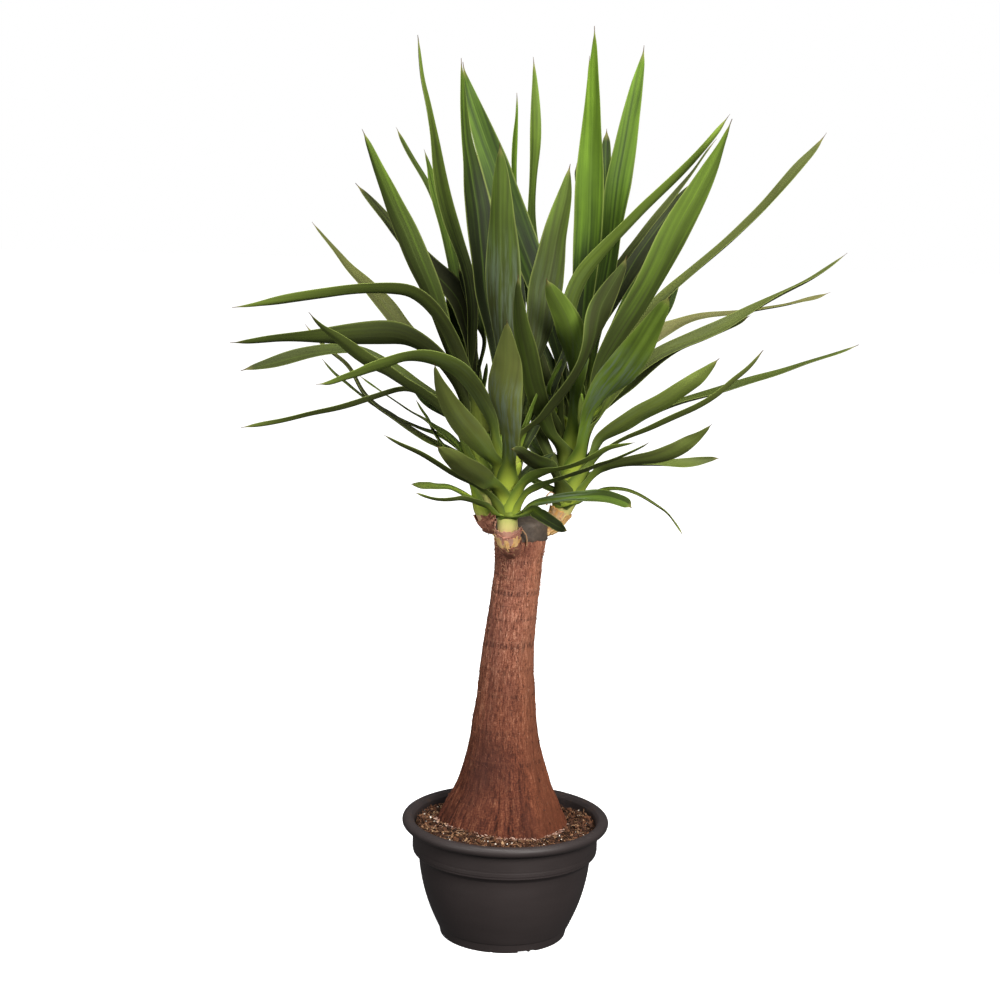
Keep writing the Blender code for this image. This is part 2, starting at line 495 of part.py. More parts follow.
                [(847.3, 253, 0), (827, 268, 2.5), (808, 280, 2.5), (789, 289, 3), (773, 297, 5),
                 (760, 304, 7), (744, 313, 10), (727, 323, 12), (707, 332, 13), (687, 340, 12),
                 (662, 351, 12), (640, 365, 12), (620, 383, 11)]),
    "right_03": ("right", 0.40, 0.03, 1.0, 0.03,
                [(750.7, 315.5, 0), (740, 320.5, 6.5), (725, 325.6, 10.5), (700, 335.5, 12), (679, 343, 12.5),
                 (660, 355, 12), (644, 368, 13), (628, 382.5, 15), (612, 397, 12), (599.5, 411, 9), (589.5, 425, 7)]),
    "right_02": ("right", 0.54, 0.15, 1.0, 0.017,
                [(830.7, 292, 0), (821, 296, 4), (808, 299, 4), (797, 302, 1.6), (784, 305, 1.2),
                 (765, 308, 2), (740, 312, 3), (720, 314, 4), (707, 315, 4), (695, 317, 5), (685, 320, 6),
                 (675, 324, 9), (660, 331, 16), (645, 341, 17), (630, 354, 15), (615, 374, 12)]),
    "right_04": ("right", 0.26, -0.085, 0.9, 0.028,
                [(719.4, 358.5, 0), (699, 377, 14), (680, 390, 16), (660, 403, 17), (640, 413, 16),
                 (622, 424.5, 15), (609, 432, 11), (598, 440, 8)]),
    "right_05": ("right", 0.32, 0.045, 1.0, 0.03,
                [(859, 344.5, 0), (839, 352, 3), (809, 361, 3.5), (778, 372, 5), (747, 381, 5), (726, 388, 5),
                 (701, 395, 5), (681, 400.5, 5), (663, 407.5, 5), (645, 416, 6), (628, 424, 7), (612, 433, 7),
                 (600, 439, 6)]),
    "right_06": ("right", 0.20, -0.03, 1.0, 0.026,
                [(763.4, 350, 0), (755, 361, 2), (746, 370.5, 2.5), (732, 381, 3), (720, 392, 4),
                 (701, 404, 5), (671, 417.5, 5), (647, 428.5, 4.5), (624, 437.5, 4), (608, 446.5, 4),
                 (594, 458, 4)]),
    "right_09": ("right", 0.10, -0.1, 1.0, 0.022,
                [(712, 424, 0), (704, 431, 5), (689, 442, 14), (672, 451, 16), (653, 457, 14),
                 (636, 459.5, 11), (618, 463, 9), (608, 465.5, 7), (598, 469.5, 7)]),
    "right_10": ("right", 0.08, 0.04, 1.0, 0.018,
                [(720, 458, 0), (711, 459, 5), (700, 461, 8), (685, 463, 9), (670, 463.5, 7), (655, 463.5, 4),
                 (640, 463.5, 4), (625, 464, 4), (612, 466.5, 5), (600, 471, 5), (590, 477, 6)]),
    "right_12": ("right", 0.0, -0.06, 1.0, 0.014,
                 [(682.6, 535, 0), (676, 524, 2), (669, 514, 2), (654, 503, 3), (641, 495, 3), (629, 490, 3),
                  (612, 488, 3), (600, 490, 4)]),
    "right_m2": ("right", 0.50, -0.115, 0.9, 0.034,
                 [(546, 278.7, 0), (553, 294, 17), (560, 306, 22), (567, 320, 27), (572, 334, 29), (575, 348, 27),
                  (576, 362, 21), (576, 378, 15), (575, 395, 11)]),
    "right_m5": ("right", 0.36, -0.175, 0.85, 0.038,
                 [(670, 296, 0), (664, 306, 13), (656, 319, 18), (648, 331, 24), (640, 344, 30), (630, 358, 33),
                  (620, 371, 33), (609, 383, 28), (600, 394, 20), (592, 406, 14), (586, 420, 11)]),
    "right_f1": ("right", 0.14, -0.20, 0.9, 0.020,
                 [(511, 449, 0), (518, 450, 9), (527, 456, 14), (537, 462, 16), (546, 466, 14), (554, 470, 9)]),
    # behind the crown
    "left_b1": ("left", 0.60, 0.24, 0.9, 0.034,
                [(450, 262, 0), (453, 276, 5), (457, 292, 9), (461, 308, 11), (465, 326, 12), (469, 346, 11),
                 (473, 368, 10)]),
    "left_b2": ("left", 0.40, 0.20, 0.9, 0.032,
                [(470, 306, 0), (471, 320, 5), (472, 336, 9), (473, 354, 11), (475, 372, 11), (477, 390, 9)]),
    "right_b3": ("right", 0.56, 0.25, 0.9, 0.034,
                 [(650, 250, 0), (643, 266, 5), (635, 284, 9), (626, 304, 11), (616, 326, 12), (606, 348, 11),
                  (597, 370, 10)]),
    "right_b4": ("right", 0.44, 0.21, 0.9, 0.033,
                 [(588, 238, 0), (587, 256, 5), (586, 276, 9), (584, 298, 11), (582, 322, 12), (580, 346, 11),
                  (578, 370, 10)]),
}


def blade_share(s):
    """Share of the full width at s: 0 at the foot, 1 at the tip of a blade."""
    return lerp(((0.0, 0.22), (0.06, 0.24), (0.12, 0.32), (0.20, 0.52), (0.34, 0.84), (0.48, 1.0), (0.60, 0.97),
                 (0.74, 0.78), (0.86, 0.50), (0.94, 0.26), (1.0, 0.035)), s)[0]


def leaf_lines(key, spec, dh=0.0, dd=0.0, turn=0.0, stations=STATIONS):
    """Points along the middle of a blade, with its across and upper-face directions and half width."""
    shoot, h, tip_y, bow, full, rows = spec
    h = min(max(h + dh, 0.0), 0.97)
    axis, rad = on_shoot(shoot, h)
    rows = list(reversed(rows))
    run = [0.0]
    for a, b in zip(rows, rows[1:]):
        run.append(run[-1] + math.hypot(b[0] - a[0], b[1] - a[1]))
    start = run[-1] * 0.16
    pts, wid = [], []
    for r, d in zip(rows, run):
        f = (d + start) / (run[-1] + start)
        y = axis.y + (tip_y + dd - axis.y) * f ** bow
        p = seen(r[0], r[1], y)
        pts.append(p)
        wid.append(max(r[2], 0.9) * px_size(p))
    out = pts[0] - axis
    out.z = 0.0
    far = pts[-1] - axis
    far.z = 0.0
    out = (out.normalized() * 0.5 + far.normalized() * 0.5)
    out.normalize()
    out = Vector((out.x * math.cos(turn) - out.y * math.sin(turn),
                  out.x * math.sin(turn) + out.y * math.cos(turn), 0.0))
    foot = axis + out * (rad + 0.0018)
    if (pts[0] - foot).length > 0.016:
        pts.insert(0, foot + (pts[0] - foot) * 0.38 + out * 0.002
                   + Vector((0, 0, 0.06 * (pts[0] - foot).length)))
        wid.insert(0, full * 0.24)
    pts.insert(0, foot)
    wid.insert(0, full * 0.22)
    ts = [0.0]
    for a, b in zip(pts, pts[1:]):
        ts.append(ts[-1] + max((b - a).length, 1e-5))
    length = ts[-1]
    lines = []
    for s in stations:
        t = s * length
        p = catmull(pts, ts, t)
        e = length * 0.01
        d = (catmull(pts, ts, min(t + e, length)) - catmull(pts, ts, max(t - e, 0.0))).normalized()
        lines.append([s, p, d, lerp(list(zip(ts, wid)), t)[0]])
    total = 0.0
    frames = []
    for s, p, d, w in lines:
        view = (p - EYE).normalized()
        pa = d.cross(view).normalized()
        q = pa.cross(d).normalized()
        if q.dot(view) < 0:
            q = -q
        wr = max(full * blade_share(s), w)
        c = min(1.0, w / wr)
        sn = math.sqrt(max(0.0, 1.0 - c * c))
        inward = Vector((axis.x - p.x, axis.y - p.y, 0.0)).normalized() + Vector((0, 0, 0.9))
        nat = (inward - d * inward.dot(d)).normalized()
        frames.append((s, p, d, wr, pa, q, c, sn, nat))
    # one way round for the whole blade: the upper face that comes nearest to facing in and up
    best = None
    for sq in (1, -1):
        for sp in (1, -1):
            score = sum(f[8].dot(f[5] * f[6] * sq + f[4] * f[7] * sp) * f[3] for f in frames[2:])
            if best is None or score > best[0]:
                best = (score, sq, sp)
    _, sq, sp = best
    res = []
    for s, p, d, wr, pa, q, c, sn, nat in frames:
        n = q * c * sq + pa * sn * sp
        if s < 0.2:                                  # clasps the shoot at its foot
            k = s / 0.2
            base = -out - d * (-out).dot(d)
            n = (base.normalized() * (1 - k) + n * k)
        n = (n - d * n.dot(d)).normalized()
        res.append((s, p, d, d.cross(n).normalized(), n, wr * 0.5))
    return res


def strip(name, lines, extra=0.0):
    """Open folded strip, two faces across, that a Solidify makes into the blade."""
    verts, faces = [], []
    for s, p, d, a, n, hw in lines:
        fold = hw * 0.22
        verts += [p - a * (hw + extra), p - n * fold, p + a * (hw + extra)]
    for i in range(len(lines) - 1):
        j = 3 * i
        faces += [(j, j + 1, j + 4, j + 3), (j + 1, j + 2, j + 5, j + 4)]
    return verts, faces


def tree_of(verts, faces):
    return BVHTree.FromPolygons([tuple(v) for v in verts], faces, epsilon=0.0)


def thick(lines, t):
    """Closed test body of a strip t thick."""
    v, f = strip("", lines, t * 0.4)
    n = len(v)
    vv = []
    for i in range(len(lines)):
        nn = lines[i][4] * t * 0.5
        vv += [v[3 * i + k] + nn for k in range(3)]
    for i in range(len(lines)):
        nn = lines[i][4] * t * 0.5
        vv += [v[3 * i + k] - nn for k in range(3)]
    ff = [tuple(q) for q in f] + [tuple(i + n for i in reversed(q)) for q in f]
    m = len(lines)
    for i in range(m - 1):
        a, b = 3 * i, 3 * (i + 1)
        ff += [(a, b, b + n, a + n), (a + 2, a + 2 + n, b + 2 + n, b + 2)]
    ff += [(0, n, n + 1, 1), (1, n + 1, n + 2, 2)]
    e = 3 * (m - 1)
    ff += [(e, e + 1, e + 1 + n, e + n), (e + 1, e + 2, e + 2 + n, e + 1 + n)]
    return vv, ff


bpy.context.view_layer.update()
dg = bpy.context.evaluated_depsgraph_get()
placed = []
for ob in list(parts.objects):
    if ob.name in ("soil", "pot"):
        continue
    ev = ob.evaluated_get(dg)
    me = ev.to_mesh()
    placed.append(tree_of([v.co.copy() for v in me.vertices], [tuple(p.vertices) for p in me.polygons]))
    ev.to_mesh_clear()

# a blade that would touch one already placed is shifted along its shoot, round it, or
# nearer or farther at its tip, by the least that clears it
TRIES = sorted(((0.03 * i, 0.008 * j, 0.35 * k) for i in range(-7, 8) for j in range(-10, 11)
                for k in (-3, -2, -1, 0, 1, 2, 3)),
               key=lambda c: (round(abs(c[0]) / 0.03 * 0.8 + abs(c[1]) / 0.008 + abs(c[2]) / 0.35 * 0.9, 4), c))
moved = []
for key, spec in sorted(LEAVES.items(), key=lambda kv: -max(r[2] for r in kv[1][5])):
    best = None
    for dh, dd, turn in TRIES:
        lines = leaf_lines(key, spec, dh, dd, turn)
        test = tree_of(*thick(lines, LEAF_T + 0.0009))
        hits = 0
        for t in placed:
            hits += len(t.overlap(test))
            if best is not None and hits >= best[0]:
                break
        if best is None or hits < best[0]:
            best = (hits, dh, dd, turn, lines)
        if not hits:
            break
    hits, dh, dd, turn, lines = best
    if hits:
        print("blade not clear", key, hits)
    if dh or dd or turn:
        moved.append((key, round(dh, 3), round(dd, 3), round(turn, 2)))
    placed.append(tree_of(*thick(lines, LEAF_T)))
    verts, faces = strip(key, lines)
    me = bpy.data.meshes.new("leaf_" + key)
    me.from_pydata([tuple(v) for v in verts], [], faces)
    me.update()
    me.shade_smooth()
    ob = add_object("leaf_" + key, me, MAT_LEAF)
    sol = ob.modifiers.new("thickness", "SOLIDIFY")
    sol.thickness = LEAF_T
    sol.offset = 0.0
    sol.use_even_offset = False
print("blades", len(LEAVES), "shifted", len(moved))
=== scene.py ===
"""Looks of the potted yucca: bark, blades, sheaths, soil, pot, floor, light and camera.

Everything is in metres in the frame's own coordinates.  The plant is laid out from one
viewpoint, as in the construction: a point is given by where it falls in a 1000 x 1000 view
and by how far behind the pot's axis it lies.
"""
import math

import bmesh
import bpy
import numpy as np
from mathutils import Matrix, Vector
from mathutils.kdtree import KDTree

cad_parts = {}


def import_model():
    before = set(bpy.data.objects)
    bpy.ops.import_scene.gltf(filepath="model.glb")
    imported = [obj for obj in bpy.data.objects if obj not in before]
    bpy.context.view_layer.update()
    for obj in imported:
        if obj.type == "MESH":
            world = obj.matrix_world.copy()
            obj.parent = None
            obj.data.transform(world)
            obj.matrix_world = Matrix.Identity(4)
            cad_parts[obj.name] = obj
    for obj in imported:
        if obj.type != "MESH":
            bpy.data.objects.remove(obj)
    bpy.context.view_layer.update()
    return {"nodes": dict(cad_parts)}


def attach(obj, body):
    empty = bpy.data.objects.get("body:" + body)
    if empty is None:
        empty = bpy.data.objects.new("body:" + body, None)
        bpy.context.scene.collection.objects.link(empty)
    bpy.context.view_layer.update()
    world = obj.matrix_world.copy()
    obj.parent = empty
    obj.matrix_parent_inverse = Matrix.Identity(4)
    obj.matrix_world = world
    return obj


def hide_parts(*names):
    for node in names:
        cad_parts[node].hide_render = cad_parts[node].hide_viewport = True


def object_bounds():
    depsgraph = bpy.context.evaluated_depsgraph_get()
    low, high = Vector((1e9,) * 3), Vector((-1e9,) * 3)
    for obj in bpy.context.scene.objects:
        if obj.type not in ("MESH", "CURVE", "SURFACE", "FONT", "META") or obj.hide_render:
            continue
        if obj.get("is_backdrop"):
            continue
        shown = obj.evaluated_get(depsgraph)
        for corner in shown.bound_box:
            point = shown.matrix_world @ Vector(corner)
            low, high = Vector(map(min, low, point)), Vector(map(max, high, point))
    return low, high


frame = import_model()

NODES = frame["nodes"]

# ----------------------------------------------------------------- sizes shared with the frame
POT_RIM_D = 0.2206
POT_H = 0.1297
SOIL_MID = 0.1185
SOIL_SLOPE = 0.045
FOOT_RX, FOOT_RY = 0.0648, 0.0575
SEAL_T = 0.0014
GAP = 0.0003
LEAF_T = 0.0015
STATIONS = (0.0, 0.03, 0.07, 0.12, 0.20, 0.30, 0.42, 0.54, 0.66, 0.78, 0.90, 1.0)

# ----------------------------------------------------------------- the viewpoint
VIEW_D, VIEW_H = 2.3, 0.9032
VIEW_PITCH, VIEW_ROLL, VIEW_YAW = math.radians(10.613), math.radians(1.450), math.radians(-0.357)
VIEW_F = 2245.7
EYE = Vector((0.0, -VIEW_D, VIEW_H))
FWD = Vector((math.sin(VIEW_YAW) * math.cos(VIEW_PITCH),
              math.cos(VIEW_YAW) * math.cos(VIEW_PITCH), -math.sin(VIEW_PITCH)))
RIGHT = Vector((math.cos(VIEW_YAW), -math.sin(VIEW_YAW), 0.0))
UP = RIGHT.cross(FWD)


def seen(px, py, depth):
    """World point that falls on (px, py) of the view at y = depth."""
    a, b = px - 500.0, py - 500.0
    c, s = math.cos(VIEW_ROLL), math.sin(VIEW_ROLL)
    u, v = a * c + b * s, -a * s + b * c
    ray = FWD * VIEW_F + RIGHT * u - UP * v
    t = (depth - EYE.y) / ray.y
    return EYE + ray * t


def px_size(p):
    return (p - EYE).dot(FWD) / VIEW_F


# ----------------------------------------------------------------- camera, light, floor
cam_data = bpy.data.cameras.new("view_camera")
cam = bpy.data.objects.new("view_camera", cam_data)
bpy.context.scene.collection.objects.link(cam)
_c, _s = math.cos(VIEW_ROLL), math.sin(VIEW_ROLL)
_x = RIGHT * _c + UP * _s
_y = -RIGHT * _s + UP * _c
_z = -FWD
cam.matrix_world = Matrix(((_x.x, _y.x, _z.x, EYE.x), (_x.y, _y.y, _z.y, EYE.y), (_x.z, _y.z, _z.z, EYE.z), (0, 0, 0, 1)))
cam_data.sensor_width = 36.0
cam_data.lens = VIEW_F / 1000.0 * 36.0
cam_data.clip_start, cam_data.clip_end = 0.05, 60.0
bpy.context.scene.camera = cam
bpy.context.scene.view_settings.view_transform = "Standard"
bpy.context.scene.view_settings.look = "None"


def lamp(name, loc, target, size, power, colour=(1, 1, 1), size_y=None):
    d = bpy.data.lights.new(name, "AREA")
    d.shape = "RECTANGLE"
    d.size, d.size_y = size, size_y or size
    d.energy = power
    d.color = colour
    o = bpy.data.objects.new(name, d)
    bpy.context.scene.collection.objects.link(o)
    o.location = loc
    o.rotation_euler = (Vector(target) - Vector(loc)).to_track_quat("-Z", "Y").to_euler()
    return o


lamp("key_soft", (1.15, -2.15, 1.60), (0, 0, 0.60), 1.2, 104, (1.0, 0.985, 0.955))
lamp("top_soft", (0.0, -0.80, 2.50), (0, 0, 0.65), 1.2, 66, (1.0, 1.0, 0.98))
lamp("left_fill", (-1.7, -2.0, 1.35), (0, 0, 0.60), 1.2, 37, (1.0, 0.995, 0.97))

world = bpy.data.worlds.new("studio")
bpy.context.scene.world = world
world.use_nodes = True
wt = world.node_tree
wt.nodes.clear()
w_out = wt.nodes.new("ShaderNodeOutputWorld")
w_mix = wt.nodes.new("ShaderNodeMixShader")
w_lp = wt.nodes.new("ShaderNodeLightPath")
w_light = wt.nodes.new("ShaderNodeBackground")
w_back = wt.nodes.new("ShaderNodeBackground")
w_light.inputs["Color"].default_value = (1.0, 1.0, 1.0, 1.0)
w_light.inputs["Strength"].default_value = 0.10
w_back.inputs["Color"].default_value = (1.0, 1.0, 1.0, 1.0)
w_back.inputs["Strength"].default_value = 1.0
wt.links.new(w_lp.outputs["Is Camera Ray"], w_mix.inputs[0])
wt.links.new(w_light.outputs[0], w_mix.inputs[1])
wt.links.new(w_back.outputs[0], w_mix.inputs[2])
wt.links.new(w_mix.outputs[0], w_out.inputs[0])


# ----------------------------------------------------------------- small tools
def lerp(table, x):
    if x <= table[0][0]:
        return table[0][1:]
    for a, b in zip(table, table[1:]):
        if x <= b[0]:
            t = (x - a[0]) / (b[0] - a[0])
            return tuple(p + (q - p) * t for p, q in zip(a[1:], b[1:]))
    return table[-1][1:]


def smoothstep(a, b, x):
    t = np.clip((np.asarray(x, float) - a) / (b - a), 0.0, 1.0)
    return t * t * (3 - 2 * t)


def catmull(pts, ts, t):
    """Smooth curve through rows pts at knots ts."""
    n = len(pts)
    i = 0
    while i < n - 2 and t > ts[i + 1]:
        i += 1
    h = ts[i + 1] - ts[i]
    u = (t - ts[i]) / h

    def slope(k):
        if k == 0:
            return (pts[1] - pts[0]) / (ts[1] - ts[0])
        if k == n - 1:
            return (pts[-1] - pts[-2]) / (ts[-1] - ts[-2])
        a = (pts[k] - pts[k - 1]) / (ts[k] - ts[k - 1])
        b = (pts[k + 1] - pts[k]) / (ts[k + 1] - ts[k])
        wa, wb = ts[k + 1] - ts[k], ts[k] - ts[k - 1]
        return (a * wa + b * wb) / (wa + wb)
    m0, m1 = slope(i) * h, slope(i + 1) * h
    u2, u3 = u * u, u * u * u
    return (pts[i] * (2 * u3 - 3 * u2 + 1) + m0 * (u3 - 2 * u2 + u)
            + pts[i + 1] * (-2 * u3 + 3 * u2) + m1 * (u3 - u2))


def lattice(i, j, k, seed):
    n = (i * 73856093) ^ (j * 19349663) ^ (k * 83492791) ^ (seed * 265443576 + 97)
    n = n & 0xFFFFFFFF
    n = ((n ^ (n >> 15)) * 2246822519) & 0xFFFFFFFF
    n = ((n ^ (n >> 13)) * 3266489917) & 0xFFFFFFFF
    return ((n ^ (n >> 16)) & 0xFFFFFF) / float(0xFFFFFF)


def grain(x, y, z, seed=0):
    """Smooth value noise, -1 to 1, on arrays."""
    x, y, z = np.broadcast_arrays(np.asarray(x, float), np.asarray(y, float), np.asarray(z, float))
    x0, y0, z0 = (np.floor(v).astype(np.int64) for v in (x, y, z))
    fx, fy, fz = x - x0, y - y0, z - z0
    fx, fy, fz = (f * f * (3 - 2 * f) for f in (fx, fy, fz))
    out = 0.0
    for dx in (0, 1):
        for dy in (0, 1):
            for dz in (0, 1):
                w = (fx if dx else 1 - fx) * (fy if dy else 1 - fy) * (fz if dz else 1 - fz)
                out = out + w * lattice(x0 + dx, y0 + dy, z0 + dz, seed)
    return out * 2 - 1


def cells(x, y, z, seed=0):
    """Distance to the nearest and second nearest scattered point, and that point's own number."""
    x, y, z = np.broadcast_arrays(np.asarray(x, float), np.asarray(y, float), np.asarray(z, float))
    x0, y0, z0 = (np.floor(v).astype(np.int64) for v in (x, y, z))
    f1 = np.full(x.shape, 9.0)
    f2 = np.full(x.shape, 9.0)
    own = np.zeros(x.shape)
    for dx in (-1, 0, 1):
        for dy in (-1, 0, 1):
            for dz in (-1, 0, 1):
                i, j, k = x0 + dx, y0 + dy, z0 + dz
                px = i + lattice(i, j, k, seed + 11)
                py = j + lattice(i, j, k, seed + 23)
                pz = k + lattice(i, j, k, seed + 37)
                d = np.sqrt((x - px) ** 2 + (y - py) ** 2 + (z - pz) ** 2)
                near = d < f1
                f2 = np.where(near, f1, np.minimum(f2, d))
                own = np.where(near, lattice(i, j, k, seed + 51), own)
                f1 = np.where(near, d, f1)
    return f1, f2, own


def obj(name, verts, faces, mat, sharp=35.0, stands=None):
    me = bpy.data.meshes.new(name)
    me.from_pydata([tuple(map(float, v)) for v in verts], [], [tuple(map(int, f)) for f in faces])
    me.update()
    me.shade_smooth()
    if sharp:
        me.set_sharp_from_angle(angle=math.radians(sharp))
    me.materials.append(mat)
    ob = bpy.data.objects.new(name, me)
    bpy.context.scene.collection.objects.link(ob)
    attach(ob, "root")
    for node in (stands or ()):
        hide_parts(node)
    return ob


def put(ob, name, values, kind="FLOAT"):
    """A per-vertex attribute."""
    at = ob.data.attributes.new(name, kind, "POINT")
    key = {"FLOAT": "value", "FLOAT_VECTOR": "vector", "FLOAT_COLOR": "color"}[kind]
    at.data.foreach_set(key, np.asarray(values, np.float32).ravel())


def volume(verts, faces):
    v = np.asarray(verts, float)
    total = 0.0
    for f in faces:
        a = v[f[0]]
        for k in range(1, len(f) - 1):
            total += np.dot(a, np.cross(v[f[k]], v[f[k + 1]]))
    return total / 6.0


class Shade:
    """Short names for building a material's nodes."""

    def __init__(self, name):
        self.mat = bpy.data.materials.new(name)
        self.mat.use_nodes = True
        self.t = self.mat.node_tree
        self.bsdf = self.t.nodes["Principled BSDF"]

    def put(self, socket, value):
        if isinstance(value, bpy.types.NodeSocket):
            self.t.links.new(value, socket)
        elif isinstance(value, (tuple, list)) and len(value) == 3 and socket.type == "RGBA":
            socket.default_value = (*value, 1.0)
        else:
            socket.default_value = value

    def math(self, op, a, b=0.0, c=None, clamp=False):
        n = self.t.nodes.new("ShaderNodeMath")
        n.operation = op
        n.use_clamp = clamp
        self.put(n.inputs[0], a)
        self.put(n.inputs[1], b)
        if c is not None:
            self.put(n.inputs[2], c)
        return n.outputs[0]

    def step(self, x, lo, hi, a=0.0, b=1.0):
        n = self.t.nodes.new("ShaderNodeMapRange")
        n.interpolation_type = "SMOOTHSTEP"
        for k, v in enumerate((x, lo, hi, a, b)):
            self.put(n.inputs[k], v)
        return n.outputs[0]

    def mix(self, f, a, b, mode="MIX"):
        n = self.t.nodes.new("ShaderNodeMix")
        n.data_type = "RGBA"
        n.blend_type = mode
        n.clamp_factor = True
        self.put(n.inputs[0], f)
        self.put(n.inputs[6], a)
        self.put(n.inputs[7], b)
        return n.outputs[2]

    def attr(self, name, out="Fac"):
        n = self.t.nodes.new("ShaderNodeAttribute")
        n.attribute_name = name
        return n.outputs[out]

    def split(self, v):
        n = self.t.nodes.new("ShaderNodeSeparateXYZ")
        self.put(n.inputs[0], v)
        return n.outputs

    def join(self, x, y, z):
        n = self.t.nodes.new("ShaderNodeCombineXYZ")
        for k, v in enumerate((x, y, z)):
            self.put(n.inputs[k], v)
        return n.outputs[0]

    def scaled(self, v, s):
        n = self.t.nodes.new("ShaderNodeVectorMath")
        n.operation = "MULTIPLY"
        self.put(n.inputs[0], v)
        n.inputs[1].default_value = s
        return n.outputs[0]

    def coords(self):
        n = self.t.nodes.new("ShaderNodeTexCoord")
        return n.outputs["Object"]

    def noise(self, v, scale, detail=3.0, rough=0.5, dist=0.0):
        n = self.t.nodes.new("ShaderNodeTexNoise")
        self.put(n.inputs["Vector"], v)
        n.inputs["Scale"].default_value = scale
        n.inputs["Detail"].default_value = detail
        n.inputs["Roughness"].default_value = rough
        n.inputs["Distortion"].default_value = dist
        return n.outputs[0]

    def voronoi(self, v, scale, feature="F1", out="Distance"):
        n = self.t.nodes.new("ShaderNodeTexVoronoi")
        n.feature = feature
        self.put(n.inputs["Vector"], v)
        n.inputs["Scale"].default_value = scale
        return n.outputs[out]

    def ramp(self, f, stops):
        n = self.t.nodes.new("ShaderNodeValToRGB")
        e = n.color_ramp.elements
        while len(e) < len(stops):
            e.new(0.5)
        for el, (pos, col) in zip(e, stops):
            el.position = pos
            el.color = (*col, 1.0)
        self.put(n.inputs[0], f)
        return n.outputs[0]

    def bump(self, height, strength, distance, normal=None):
        n = self.t.nodes.new("ShaderNodeBump")
        n.inputs["Strength"].default_value = strength
        n.inputs["Distance"].default_value = distance
        self.put(n.inputs["Height"], height)
        if normal is not None:
            self.put(n.inputs["Normal"], normal)
        return n.outputs[0]

    def done(self, colour=None, rough=None, normal=None, **fixed):
        if colour is not None:
            self.put(self.bsdf.inputs["Base Color"], colour)
        if rough is not None:
            self.put(self.bsdf.inputs["Roughness"], rough)
        if normal is not None:
            self.put(self.bsdf.inputs["Normal"], normal)
        for k, v in fixed.items():
            self.bsdf.inputs[k.replace("_", " ")].default_value = v
        return self.mat


# floor
s = Shade("floor_pale")
s.bsdf.inputs["Emission Color"].default_value = (1, 1, 1, 1)
s.bsdf.inputs["Emission Strength"].default_value = 1.0
MAT_FLOOR = s.done((0.80, 0.80, 0.80), 0.9, Specular_IOR_Level=0.0)
fm = bpy.data.meshes.new("floor")
fm.from_pydata([(-9, -9, -0.0004), (9, -9, -0.0004), (9, 9, -0.0004), (-9, 9, -0.0004)], [], [(0, 1, 2, 3)])
fm.materials.append(MAT_FLOOR)
floor = bpy.data.objects.new("floor", fm)
bpy.context.scene.collection.objects.link(floor)
floor.visible_diffuse = False
floor.visible_glossy = False
floor.visible_shadow = False
floor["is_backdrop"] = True

# ----------------------------------------------------------------- shoots and leaves, as in the construction
SHOOTS = {
    "left": [((507, 531, 0.006), 0.0066), ((497, 527, 0.009), 0.0070), ((488, 521, 0.012), 0.0086),
             ((485, 512, 0.013), 0.0100), ((484, 492, 0.014), 0.0096), ((482, 462, 0.015), 0.0105),
             ((479, 430, 0.017), 0.0105), ((475, 402, 0.019), 0.0085), ((472, 380, 0.021), 0.0045)],
    "front": [((514, 551, -0.014), 0.0074), ((511, 547, -0.025), 0.0080), ((508.5, 540, -0.034), 0.0098),
              ((508, 530, -0.0395), 0.0103), ((507, 508, -0.041), 0.0108), ((507, 478, -0.042), 0.0108),
              ((508, 448, -0.042), 0.0112), ((508, 420, -0.041), 0.0092), ((507, 396, -0.039), 0.0044)],
    "right": [((533, 534, 0.004), 0.0066), ((543.5, 529.5, 0.006), 0.0072), ((554.5, 522, 0.007), 0.0086),
              ((561, 511, 0.008), 0.0102), ((568, 494, 0.009), 0.0128), ((571, 468, 0.010), 0.0128),
              ((574, 438, 0.012), 0.0122), ((577, 412, 0.014), 0.0090), ((579, 392, 0.016), 0.0044)],
}

